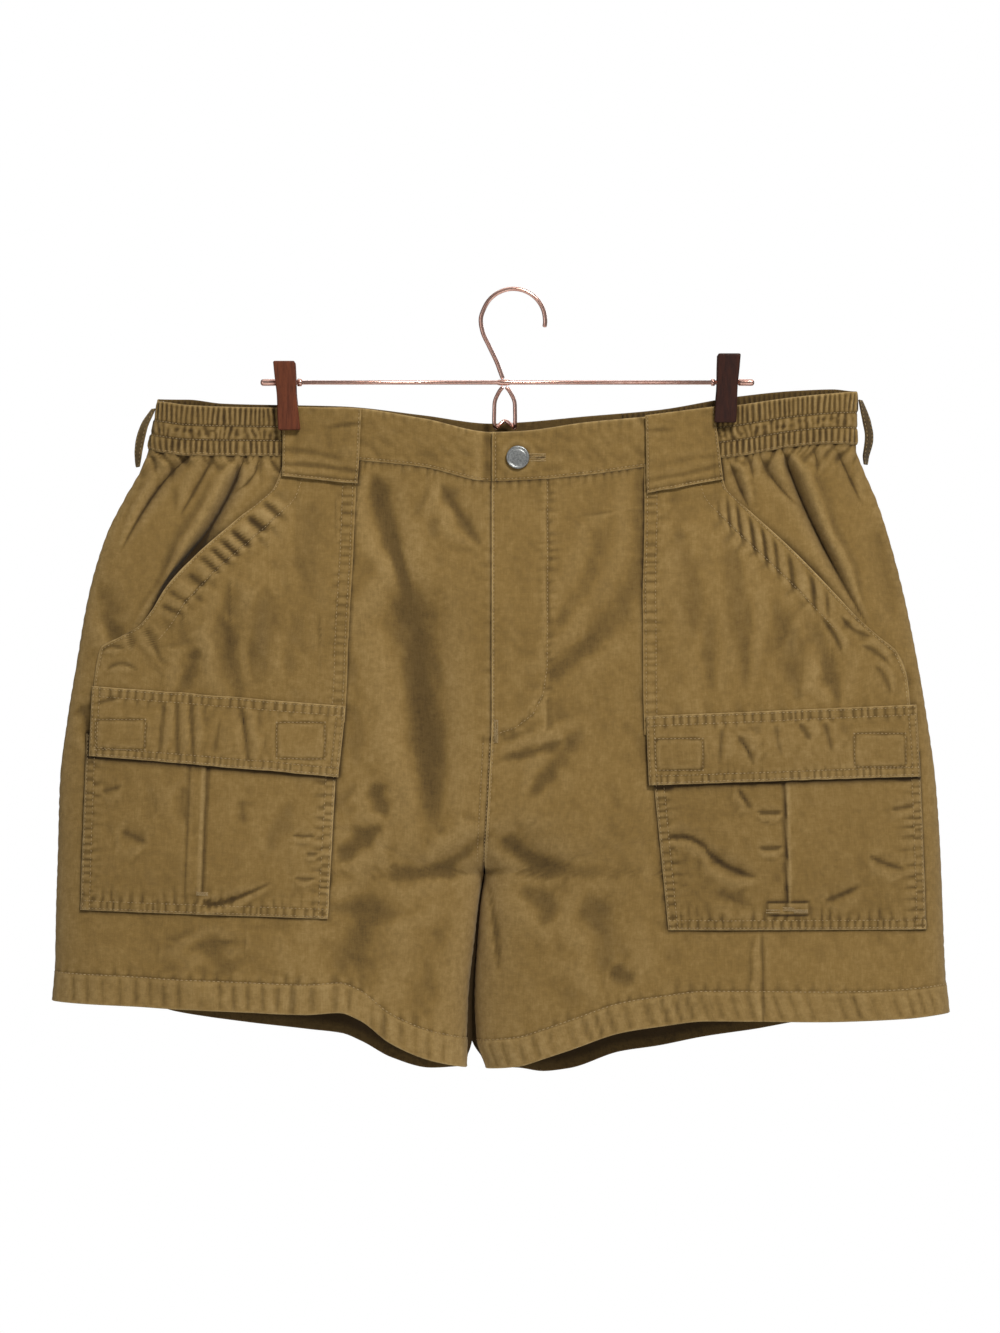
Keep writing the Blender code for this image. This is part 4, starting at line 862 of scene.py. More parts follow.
def sew(name, kind, pitch, stitch, thread, seed, material=None):
    verts, edges = [], []
    for row in ROWS[kind]:
        first = len(verts)
        verts += (row * MM).tolist()
        edges += [(first + k, first + k + 1) for k in range(len(row) - 1)]
    base = bpy.data.meshes.new(name + "_rows")
    base.from_pydata(verts, edges, [])
    holder = add_object(name + "_rows", base)
    modifier = holder.modifiers.new("stitches", "NODES")
    modifier.node_group = STITCHES
    wanted = {"Pitch": pitch * MM, "Stitch": stitch * MM, "Thread": thread * MM, "Seed": seed,
              "Finish": material or THREAD}
    for item in STITCHES.interface.items_tree:
        if item.in_out == "INPUT" and item.name in wanted:
            modifier[item.identifier] = wanted[item.name]
    bpy.context.view_layer.update()
    graph = bpy.context.evaluated_depsgraph_get()
    mesh = bpy.data.meshes.new_from_object(holder.evaluated_get(graph))
    bpy.data.objects.remove(holder)
    mesh.name = name
    add_look(name, mesh)


def grid_row(skin, across, down, share, drop):
    """Points on a finished sheet at shares across and down it."""
    share, drop = np.broadcast_arrays(np.asarray(share, float), np.asarray(drop, float))
    col = np.interp(share, across, np.arange(len(across)))
    row = np.interp(drop, down, np.arange(len(down)))
    c, r = np.clip(col.astype(int), 0, len(across) - 2), np.clip(row.astype(int), 0, len(down) - 2)
    a, b = (col - c)[:, None], (row - r)[:, None]
    top = skin[r, c] * (1 - a) + skin[r, c + 1] * a
    low = skin[r + 1, c] * (1 - a) + skin[r + 1, c + 1] * a
    return top * (1 - b) + low * b


# ---------------- panels
PANEL_OUT, PANEL_IN = 0.5, -0.5
PANEL_WIDE, PANEL_TALL = 425.0, 440.0
PANEL_STEPS = {FRONT: (3.0, 1.7), BACK: (3.8, 2.8)}  # the grid's spacing on a leg and at the hip
HEM_DEPTH = 24.0
# painted shade on the inside of a leg: how dark it is at its hem, and what it gains further up
HEM_LINING, DEEP_LINING = 0.70, 0.30
J_STITCH = ((27.5, -154), (27.5, -230), (27, -300), (24, -322), (16, -338), (2, -349), (-13, -354))
TAB_EDGE = {LEFT: -184.5, RIGHT: 162.0}
BACK_EDGE = {LEFT: -146.0, RIGHT: 87.0}
# height, outer edge, inner edge: the hip pocket patches, their slanted mouths first
HIP_PATCH_LEFT = (
    (-138, -183.5, -124.5), (-157, -190.5, -125), (-185, -220.8, -126), (-211, -250.4, -127),
    (-238, -276, -128.5), (-257, -288, -129.5), (-268, -297.5, -130), (-277, -313, -130.5),
    (-285, -328, -131), (-308, -333, -131.5), (-345, -336.5, -133.5),
)
HIP_PATCH_RIGHT = (
    (-139, 165.5, 104.5), (-157, 169.5, 104.5), (-179, 191, 104.5), (-202, 215.5, 104),
    (-225, 239, 103.5), (-245, 258, 103), (-260, 272.5, 103), (-277, 291.5, 103),
    (-288, 305, 103), (-308, 313.5, 103), (-355, 318, 104),
)
# inner top, outer top, inner bottom, outer bottom, each as across and height
POCKET_LEFT = ((-139.5, -368), (-339.5, -354), (-147, -500.5), (-343.5, -494))
POCKET_RIGHT = ((109.5, -372.5), (323.5, -368.5), (123, -509.5), (328, -509.5))
FLAP_LEFT = ((-132.5, -332), (-334.5, -316), (-138.5, -388.5), (-336.5, -372))
FLAP_RIGHT = ((105.5, -340), (320, -331), (107.5, -395), (323, -388.5))
TAB_LEFT = ((-120.5, -94.5), (-184.0, -92.5), (-123.5, -155.5), (-184.5, -149.0))
TAB_RIGHT = ((105.0, -100.0), (160.5, -92.5), (106.5, -162.5), (168.0, -151.5))
SLASH = {half: [(row[1], row[0]) for row in rows[:7]]
         for half, rows in ((LEFT, HIP_PATCH_LEFT), (RIGHT, HIP_PATCH_RIGHT))}
MOUTH_LENGTH = {half: float(np.hypot(*np.diff(np.array(path), axis=0).T).sum())
                for half, path in SLASH.items()}


def beyond(corners, x, z):
    """How far a place lies outside a four-sided piece; below 0 inside it."""
    a, b, c, d = corners
    middle = [sum(corner[k] for corner in corners) / 4 for k in (0, 1)]
    far = np.full(np.shape(x), -1e9)
    for start, end in ((a, b), (b, d), (d, c), (c, a)):
        dx, dz = end[0] - start[0], end[1] - start[1]
        size = math.hypot(dx, dz)
        off = ((x - start[0]) * dz - (z - start[1]) * dx) / size
        kept = (middle[0] - start[0]) * dz - (middle[1] - start[1]) * dx
        far = np.maximum(far, -off if kept > 0 else off)
    return far


def painted_edge_shadow(corners, x, z, reach):
    """Painted shadow against the edge of a piece sewn on: 1 at the edge, 0 away from it."""
    off = beyond(corners, x, z)
    return bell(np.maximum(off, 0), reach) * (off > -4.0)


SEWN_OVER = {LEFT: (POCKET_LEFT, FLAP_LEFT, TAB_LEFT), RIGHT: (POCKET_RIGHT, FLAP_RIGHT, TAB_RIGHT)}


def panel_relief(half, face, x, z, across, down, share, drop):
    """What seams and gathers add to a panel's outer face, with its pale places (rubbed cloth plus painted
    highlight) and its painted shade.
    """
    height = down[-1:]
    from_top, from_hem = drop * height, (1 - drop) * height
    from_inner, from_side = across, across[:, -1:] - across
    seed = 40 + 10 * face + (half > 0)
    relief = 0.45 * ease((HEM_DEPTH + 0.8 - from_hem) / 1.4) + pinch(from_hem, HEM_DEPTH, 0.28)
    tuck = pucker(across, 0 * across, 12.5, 9.0, 0.26, seed) * between(from_hem, 2.0, HEM_DEPTH - 0.5, 5.0)
    above_hem = pucker(across, np.maximum(from_hem - HEM_DEPTH, 0), 12.0, 7.0, 0.30, seed + 1)
    relief = relief + tuck + above_hem * (from_hem > HEM_DEPTH)
    edge = BACK_EDGE[half] if face == BACK else TAB_EDGE[half]
    gathered = ease((half * (x - edge) - 3.0) / 6.0)
    fan = pucker(across, 0 * across, 17.0, 9.0, 1.7, seed + 2) * np.exp(-((from_top / 15.0) ** 1.5))
    fan += pucker(across, 0 * across, 6.2, 9.0, 0.9, seed + 3) * np.exp(-((from_top / 6.0) ** 1.5))
    relief += gathered * fan * ease(from_side / 10.0)
    relief += (1 - gathered) * pucker(across, from_top, 7.0, 6.0, 0.3, seed + 4)
    relief = relief + pinch(from_side, 0.0, 0.5, 1.3) + pucker(down, from_side, 11.0, 6.0, 0.35, seed + 5)
    leg = z < CROTCH_HEIGHT
    relief += leg * (pinch(from_inner, 0.0, 0.4, 1.2) + pucker(down, from_inner, 10.0, 6.0, 0.3, seed + 6))
    body = 1 - leg
    if face == FRONT and half == RIGHT:
        fly_a, fly_o = path_frame(x, z, J_STITCH)
        inside = (x < 27.0) & (z > -354.0)
        relief += body * (0.6 * ease((28.0 - x) / 1.5) * ease((z + 356.0) / 8.0)
                          + pinch(fly_o, 0.0, 0.35, 1.0))
        relief += pucker(fly_a, fly_o, 8.0, 6.0, 0.35, seed + 8) * np.where(inside, 0.6, 1.0)
        relief += body * sewn_edge(down, from_inner, (1.8,), 8.0, 0.18, seed + 9, 0.15)
    elif face == FRONT:
        # painted shadow beside the fly, where the right front laps over the left
        lap_shadow = 0.75 * body * bell(from_inner - 1.4, 1.5)
        beside_fly = body * pucker(down, from_inner, 13.0, 7.0, 0.3, seed + 8)
        relief = relief - body * 0.7 * bell(from_inner, 1.6) + beside_fly
        relief += body * (z < -356.0) * (pinch(from_inner, 2.0, 0.2) + pinch(from_inner, 7.5, 0.2))
    else:
        rows = (2.2, 8.0) if half == RIGHT else (99.0,)
        relief += body * (pinch(from_inner, 0.0, 0.6, 1.2)
                          + pucker(down, from_inner, 8.0, 8.0, 0.45, seed + 9))
        relief += body * sum(pinch(from_inner, at, 0.25) for at in rows)
    # pale rims at the hem, side and fly, the hem's band and tuck ridges: rubbed cloth plus painted
    # highlight
    wear_and_highlight = np.maximum(rim_wear_and_highlight(from_hem, 0.7, 1.1), rim_wear_and_highlight(from_side, 0.45, 1.0))
    wear_and_highlight = np.maximum(wear_and_highlight, 0.10 * between(from_hem, 1.5, HEM_DEPTH, 3.0))
    if half == RIGHT and face == FRONT:
        wear_and_highlight = np.maximum(wear_and_highlight, body * rim_wear_and_highlight(from_inner, 0.8, 1.3))
    ridge = np.clip(tuck * 0.5, 0, 0.25)
    # painted shadow under the band's foot and painted shade in the hem row's groove
    shade = 0.70 * bell(from_top, 1.7) + 0.12 * bell(from_hem - HEM_DEPTH, 0.8)
    if half == LEFT and face == FRONT:
        shade = np.maximum(shade, lap_shadow)
    folds = FOLD_SCALE * crease_depth(CREASES[face], x, z)
    if face == FRONT:
        hips = crease_depth(HIP_CREASES, x, z)
        folds += 1.6 * hips
        # painted shade in the hip creases
        shade += np.clip(hips * 0.05, 0, 0.45)
        mouth_a, mouth_o = path_frame(x, z, SLASH[half])
        open_at = ease((mouth_a - 60.0) / 45.0) * ease((MOUTH_LENGTH[half] - 4.0 - mouth_a) / 44.0)
        open_at = open_at * (1.0 if half == LEFT else 0.35)
        gap = open_at * bell(mouth_o, 6.5)
        relief -= 4.0 * gap
        rows = HIP_PATCH_LEFT if half == LEFT else HIP_PATCH_RIGHT
        # painted shadow beside the hip patch's inner edge
        beside = (column_curve(rows, 0, 2)(z) - x) * half
        patch_edge_shadow = 0.6 * bell(np.maximum(beside, 0), 1.4) * (beside > -4.0) * between(-z, 150.0, 350.0)
        shade = np.maximum(shade, patch_edge_shadow)
        # painted shadow along the edges of the pocket, flap and tab
        for corners in SEWN_OVER[half]:
            shade = np.maximum(shade, 0.8 * painted_edge_shadow(corners, x, z, 1.5))
        # painted shade in the open mouth of the hip pocket
        shade = shade + 1.0 * open_at * bell(mouth_o, 5.0) + 0.25 * bell(mouth_o, 4.0)
    # painted shade in the folds
    shade += np.clip(folds * (0.018 if face == FRONT else 0.009), 0, 0.22)
    return relief, np.clip(wear_and_highlight + ridge, 0, 1), np.clip(shade, 0, 1)


def panel(half, face):
    """One leg panel: its shell and its hem row. Hands on its skin for the seam rows."""
    coarse, hip = PANEL_STEPS[face]
    across = marks(PANEL_WIDE, coarse, (0.5, 1.4, 2.8),
                   fine=((2.8, 12.0, 1.6), (200.0, PANEL_WIDE - 2.8, hip)))
    down = marks(PANEL_TALL, coarse, (0.5, 1.4), fine=((1.4, 120.0, hip), (411.0, PANEL_TALL - 1.4, 1.6)))
    shares = np.clip(across, 0.00012, 0.99988)

    def upper(x):
        return band_bottom[face](x) + 0.8

    points = between_edges(half, face, shares, down, upper, hem_at[(half, face)])
    x, z = points[..., 0], points[..., 2]
    sign = -1 if face == FRONT else 1
    hold = smooth_y(half, face, x, z)[1]
    points[..., 1] -= sign * drape(half, face, x, z) * hold
    normal = grid_normals(points, (0, sign, 0))
    square = np.zeros(x.shape, bool)
    square[:, -1] = True
    square[:, 0] = (z[:, 0] < CROTCH_HEIGHT) & (face == FRONT)
    normal[..., 1] = np.where(square, 0.0, normal[..., 1])
    normal /= np.linalg.norm(normal, axis=-1, keepdims=True)
    run, fall = run_lengths(points, 1), run_lengths(points, 0)
    relief, wear_and_highlight, shade = panel_relief(half, face, x, z, run, fall, across[None, :], down[:, None])
    name = ("front" if face == FRONT else "back") + "_panel_" + SIDE[half]
    from_hem = fall[-1:] - fall
    # painted shade on the inner face, deeper above the hem
    lining = HEM_LINING + DEEP_LINING * ease((from_hem - 4.0) / 7.0)
    if face == BACK:
        # on a back, the strip past the inseam darkened with painted shade between the legs
        strip = ease(((inner_edge(half, z) - x) * half + 1.5) / 1.5) * (z < CROTCH_HEIGHT)
        lining, shade = np.maximum(lining, strip), np.maximum(shade, 0.7 * strip)
    rests = "waistband_" + ("back" if face == BACK else "front_" + SIDE[half])
    inner = PANEL_IN + 0.7 * np.minimum(relief, 0.3)
    skin = cut_piece(name, points, normal, PANEL_OUT + relief, inner, wear_and_highlight, shade, rests,
                     soft_edge=0.7, round_edges=(0, 0, 0, 1), lining_shade=lining)
    skin += normal * 0.1
    tall = fall[-1]
    ends = np.linspace(0.006, 0.994, 260)
    hem_drop = 1 - HEM_DEPTH / np.interp(ends, across, tall)
    add_row("hem", grid_row(skin, across, down, ends, hem_drop))
    return skin, across, down, run


def seam_rows(sheet, offsets, top, bottom, kind):
    """Stitch rows beside a panel's inner edge, between two heights."""
    skin, across, down, run = sheet
    heights = skin[:, 0, 2]
    first, last = (float(np.interp(-z, -heights, down)) for z in (top, bottom))
    drops = np.linspace(first, last, 120)
    length = np.interp(drops, down, run[:, -1])
    for off in offsets:
        add_row(kind, grid_row(skin, across, down, off / length, drops))


PANELS = {(h, f): panel(h, f) for h in (LEFT, RIGHT) for f in (FRONT, BACK)}
seam_rows(PANELS[(RIGHT, FRONT)], (1.8,), -157.0, -452.0, "seam")
seam_rows(PANELS[(LEFT, FRONT)], (2.0, 7.5), -362.0, -455.0, "seam")
seam_rows(PANELS[(RIGHT, BACK)], (2.2, 8.0), -150.0, -455.0, "seam")
FLY_X, FLY_Z = (np.array(c) for c in zip(*J_STITCH))
FLY_AT = np.linspace(0, 1, 140)
fly_run = path_run(FLY_X, FLY_Z)
fly_px, fly_pz = (np.interp(FLY_AT * fly_run[-1], fly_run, line) for line in (FLY_X, FLY_Z))
add_row("seam", lifted(RIGHT, fly_px, fly_pz, PANEL_OUT + 0.42))


# ---------------- waistband
BAND_OUT, BAND_IN, BAND_ROW = 1.2, -1.0, 2.4
ELASTIC_ROWS, ELASTIC_FULLNESS = (0.39, 0.68), 1.35
LAP_EDGE, UNDERLAP, LAP_STEP = -17.0, 24.0, 2.8
BUTTON_X, BUTTON_Z = 3.8, -133.8


def band_strip(face, across, drops):
    """Points of the waistband on its face, from its top edge down."""
    x = np.broadcast_to(np.asarray(across, float), (len(drops), len(across)))
    top, bottom = band_top[face](x), band_bottom[face](x)
    z = top + np.asarray(drops)[:, None] * (bottom - top)
    y = np.where(x < centre_at(z), cloth_y(LEFT, face, x, z), cloth_y(RIGHT, face, x, z))
    return np.stack([x, y, z], axis=-1)


def flat_band(name, face, start, end, step_in=None, buttonhole=False, rests="clip_face_left", seed=60):
    """A plain doubled stretch of the waistband: folded at the top, topstitched along the bottom."""
    across = marks(end - start, 2.0)
    down = marks(40.0, 1.8, RIM, fine=((34.0, 38.7, 1.0),))
    xs = start + across * (end - start)
    points = band_strip(face, xs, down)
    if step_in is not None:
        points[..., 1] += step_in(xs)[None, :]
    sign = -1 if face == FRONT else 1
    normal = grid_normals(points, (0, sign, 0))
    run, fall = run_lengths(points, 1), run_lengths(points, 0)
    low, high = fall[-1:] - fall, fall
    relief = sewn_edge(run, low, (BAND_ROW,), 6.5, 0.22, seed) + pucker(run, high, 8.5, 6.0, 0.22, seed + 3)
    relief += 0.3 * noise(points[..., 0] / 17, points[..., 2] / 11, seed + 4)
    relief += 0.22 * noise(points[..., 0] / 7 + points[..., 2] / 9, points[..., 2] / 8, seed + 5)
    # pale rims at the fold and the stitched foot: rubbed cloth plus painted highlight
    wear_and_highlight = np.maximum(rim_wear_and_highlight(low, 0.7), rim_wear_and_highlight(high, 0.65, 1.1))
    shade = np.zeros(wear_and_highlight.shape)
    if buttonhole:
        dx, dz = points[..., 0] - BUTTON_X, points[..., 2] - BUTTON_Z
        slit = (dx > 0) & (dx < 22.0)
        relief -= 0.7 * bell(dz, 0.9) * slit
        relief += 0.35 * bell(np.abs(dz) - 2.0, 0.9) * slit
        relief += 0.5 * bell(np.hypot(dx, dz) - 12.0, 3.5)
        # the slit painted dark: painted shade in the opening
        shade += 0.9 * bell(dz, 0.7) * slit
        relief += sewn_edge(fall, run, (3.0,), 7.0, 0.15, seed + 8)
        # pale rim at the lap's edge: rubbed cloth plus painted highlight
        wear_and_highlight = np.maximum(wear_and_highlight, rim_wear_and_highlight(run, 0.7))
    skin = cut_piece(name, points, normal, BAND_OUT + relief, BAND_IN, wear_and_highlight, shade, rests, soft_edge=1.1)
    skin += normal * 0.1
    share = np.linspace(0.004, 0.996, 220)
    depth = np.interp(share, across, fall[-1])
    add_row("seam", grid_row(skin, across, down, share, 1 - BAND_ROW / depth))
    if buttonhole:
        drop = np.linspace(0.04, 0.96, 40)
        add_row("seam", grid_row(skin, across, down, 3.0 / (end - start), drop))
        for side in (-1, 1):
            for x_at in np.arange(BUTTON_X + 8.5, BUTTON_X + 22.6, 0.62):
                bar_z = BUTTON_Z + side * np.linspace(0.75, 2.6, 3)
                at = (x_at - start) / (end - start)
                top, bottom = band_top[face](x_at), band_bottom[face](x_at)
                add_row("satin", grid_row(skin, across, down, at, (top - bar_z) / (top - bottom)))


def left_step(xs):
    return LAP_STEP * ease((xs + 30.0) / 11.0)


flat_band("waistband_front_left", FRONT, TAB_EDGE[LEFT] + 0.15, UNDERLAP, left_step, seed=61)
flat_band("waistband_front_right", FRONT, LAP_EDGE, TAB_EDGE[RIGHT] - 0.15, buttonhole=True,
          rests="clip_face_right", seed=71)
flat_band("waistband_back", BACK, BACK_EDGE[LEFT] - 0.4, BACK_EDGE[RIGHT] + 0.4,
          rests=("clip_back_left", "clip_back_right"),
          seed=81)


def elastic_relief(along, down, seed):
    """Gathered cloth over three channels of elastic: fine ribs, crossed by two rows of stitching."""
    total = np.zeros(along.shape)
    first, second = ELASTIC_ROWS
    channels = ((0.0, first, 4.1, 0.9), (first, second, 5.4, 2.8), (second, 1.0, 4.8, 0.5))
    for k, (top, bottom, pitch, tilt) in enumerate(channels):
        inside = between(down, top + 0.02, bottom - 0.02, 0.06)
        lean = tilt * noise(along / 11.0, down * 3 + k, seed + k)
        phase = (along + lean) / pitch + 0.30 * noise(along / 13.0, 0.0, seed + 3 + k)
        rib = 0.55 * np.cos(2 * math.pi * phase) + 0.45 * (1 - 2 * np.abs(np.sin(math.pi * phase)))
        strength = 0.66 + 0.34 * noise(along / 5.0, 4.0 * down, seed + 6 + k)
        if k == 1:
            rib = 0.55 * rib + 0.75 * noise(along / 3.1, down * 14.0, seed + 12)
        total += inside * strength * rib
    stitched = bell(down - first, 0.025) + bell(down - second, 0.025)
    total = total * (1 - 0.75 * np.clip(stitched, 0, 1)) - 0.75 * stitched
    rim = bell(down, 0.05) + bell(1 - down, 0.05)
    return total * (1 - 0.6 * np.clip(rim, 0, 1))


def elastic_side(half):
    name = "waistband_side_" + SIDE[half]
    down = marks(40.0, 1.45, RIM)
    parts = []
    for face, edge in ((FRONT, TAB_EDGE[half]), (BACK, BACK_EDGE[half])):
        top, bottom = float(band_top[face](edge)), float(band_bottom[face](edge))
        z = top + down * (bottom - top)
        first = share_of(half, face, np.full(len(down), float(edge)), z)[:, None]
        count = int(abs(float(side_at[half](-110.0)) - edge) / 0.78)
        shares = first + (1 - first) * (1 - (1 - np.linspace(0, 1, count)) ** 1.08)
        part = between_edges(half, face, shares, down, band_top[face], band_bottom[face])
        x, z = part[..., 0], part[..., 2]
        push = drape(half, face, x, z) * smooth_y(half, face, x, z)[1]
        part[..., 1] += push if face == FRONT else -push
        parts.append(part)
    points = np.concatenate([parts[0], parts[1][:, -2::-1]], axis=1)
    normal = grid_normals(points, (half, 0, 0))
    run, fall = run_lengths(points, 1), run_lengths(points, 0)
    relief = elastic_relief(run, fall / fall[-1:], 90 + half)
    outer = BAND_OUT + 0.35 + relief
    inner = BAND_IN - 0.2 + 0.8 * relief
    # rib tops and rims paler (rubbed cloth plus painted highlight); painted shade between the ribs, more on
    # the left band, where less light falls
    wear_and_highlight = np.clip(0.32 * relief, 0, 0.4) + rim_wear_and_highlight(fall[-1:] - fall, 0.7, 1.0) + rim_wear_and_highlight(fall, 0.6, 1.2)
    shade = np.clip(-0.34 * relief, 0, 0.55) + (0.14 if half == LEFT else 0.08)
    rests = ("clip_face_" + SIDE[half], "clip_back_" + SIDE[half])
    skin = cut_piece(name, points, normal, outer, inner, wear_and_highlight, shade, rests, held="gathered",
                     fullness=ELASTIC_FULLNESS, soft_edge=1.1)
    skin += normal * 0.12
    shares = np.linspace(0.004, 0.996, 340)
    across = np.linspace(0, 1, points.shape[1])
    for at in ELASTIC_ROWS + (0.955,):
        add_row("elastic", grid_row(skin, across, down, shares, at))


for half in (LEFT, RIGHT):
    elastic_side(half)


# ---------------- pieces sewn on the fronts
PATCH_OUT, PATCH_IN = 2.1, 0.9
FLAP_BASE, FLAP_WALL = 2.5, 1.6
TAB_OUT, TAB_IN = 5.0, 3.5
# how far a row of stitches stops short of a corner, and how far its thread stands on the cloth
ROW_TRIM, THREAD_LIFT = 1.6, 0.12
POUCH_ROWS, POUCH_PUFF = (1.7, 7.6), 4.5
FLAP_SIDE_ROWS, FLAP_TOP_ROWS, FLAP_FOOT_ROWS = (1.7, 6.4), (1.8, 8.0), (1.7, 7.2)
# a flap's top, foot, inner and outer edge: place in quad_frames, rows, pucker pitch and height, seed step
FLAP_EDGES = ((2, FLAP_TOP_ROWS, 7.0, 0.65, 0), (3, FLAP_FOOT_ROWS, 5.6, 0.5, 20),
              (0, FLAP_SIDE_ROWS, 6.2, 0.28, 40), (1, FLAP_SIDE_ROWS, 6.2, 0.28, 60))
PATCH_ROW, PATCH_SINK = 19.0, 0.45  # its row beside the mouth, and the least it stands off the front
PLEAT_LEFT, PLEAT_RIGHT = (-242.5, -247.5), (215.5, 217.5)
# left, right, top, bottom of the squares of hook-and-loop tape stitched behind the flaps
TAPE_SQUARES = {
    LEFT: ((-331, -291, -343, -367), (-187, -149, -345, -374)),
    RIGHT: ((113, 150, -358, -383), (270, 311, -354, -381)),
}


def quad_frames(corners, x, z):
    """Along and away from a four-sided piece's inner, outer, top and bottom edges, with its shares."""
    a, b, c, d = corners
    frames = [line_frame(x, z, *ends) for ends in ((a, c), (b, d), (a, b), (c, d))]
    t = frames[0][1] / (frames[0][1] + frames[1][1] + 1e-9)
    s = frames[2][1] / (frames[2][1] + frames[3][1] + 1e-9)
    return frames, t, s


def quad_xz(corners, across, down):
    """Grid of places inside a four-sided piece."""
    (ax, az), (bx, bz), (cx, cz), (dx, dz) = corners
    t, s = np.meshgrid(across, down)
    x = (ax + (bx - ax) * t) * (1 - s) + (cx + (dx - cx) * t) * s
    z = (az + (bz - az) * t) * (1 - s) + (cz + (dz - cz) * t) * s
    return x, z


def sewn_on(name, half, x, z, out, inner, wear_and_highlight, shade, rests, soft_edge=0.8):
    """A piece sewn on a front: the front's surface at those places, moved out."""
    base = lifted(half, x, z, 0.0)
    normal = lifted(half, x, z, 1.0) - base
    cut_piece(name + SIDE[half], base, normal, out, inner, wear_and_highlight, shade, rests + SIDE[half],
              soft_edge=soft_edge)


def stitch_line(half, start, end, out):
    count = max(3, int(math.hypot(end[0] - start[0], end[1] - start[1]) / 2.0))
    x, z = np.linspace(start[0], end[0], count), np.linspace(start[1], end[1], count)
    add_row("seam", lifted(half, x, z, out(x, z) + THREAD_LIFT))


def edge_rows(half, corners, insets, out):
    """Stitch rows inside a four-sided piece; insets from its inner, outer, top and bottom edges."""
    a, b, c, d = (np.array(p) for p in corners)
    edges = ((a, c, b, d), (b, d, a, c), (a, b, c, d), (c, d, a, b))
    for (start, end, near, far), offs in zip(edges, insets):
        line = (end - start) / np.linalg.norm(end - start)
        turn = np.array([-line[1], line[0]])
        middle = (near + far) / 2 - (start + end) / 2
        turn = turn if np.dot(turn, middle) > 0 else -turn
        for off in offs:
            stitch_line(half, start + turn * off + line * ROW_TRIM, end + turn * off - line * ROW_TRIM, out)


def bartack(half, start, end, out):
    """A short dense bar of thread."""
    run = math.hypot(end[0] - start[0], end[1] - start[1])
    ux, uz = (end[0] - start[0]) / run, (end[1] - start[1]) / run
    for t in np.arange(0, run, 0.55):
        x = start[0] + ux * t + np.array([-1, 0, 1]) * uz * 1.0
        z = start[1] + uz * t - np.array([-1, 0, 1]) * ux * 1.0
        add_row("satin", lifted(half, x, z, out(x, z) + 0.25))


# creases of the hip patches, most of them crumples at the foot of the mouth
PATCH_CREASES = {
    LEFT: ((-327, -288, -319, -284, -309, -287, 2, 1.3, 0.6),
           (-311, -266, -305, -276, -303, -288, 2, 1.3, 0.6),
           (-322, -302, -311, -298, -299, -303, 2.2, 1, 0.5),
           (-292, -270, -286, -281, -280, -295, 2.6, 1.2, 0.6),
           (-235, -262, -231, -285, -232, -312, 7, 1.4, 0.7),
           (-197, -240, -200, -275, -203, -318, 8, 1.6, 0.8),
           (-160, -170, -164, -205, -160, -250, 9, 1, 0.5)),
    RIGHT: ((262, -262, 272, -272, 284, -276, 2.4, 1.5, -0.7),
            (246, -262, 256, -276, 262, -290, 2.6, 1.2, -0.6),
            (278, -284, 290, -290, 300, -300, 2.6, 1.3, -0.6),
            (288, -300, 296, -310, 300, -322, 2.6, 1, -0.5),
            (170, -200, 180, -252, 184, -315, 8, 1.3, -0.7),
            (210, -250, 222, -285, 226, -325, 8, 1.3, -0.6), (128, -190, 140, -235, 138, -290, 9, 1, -0.5)),
}


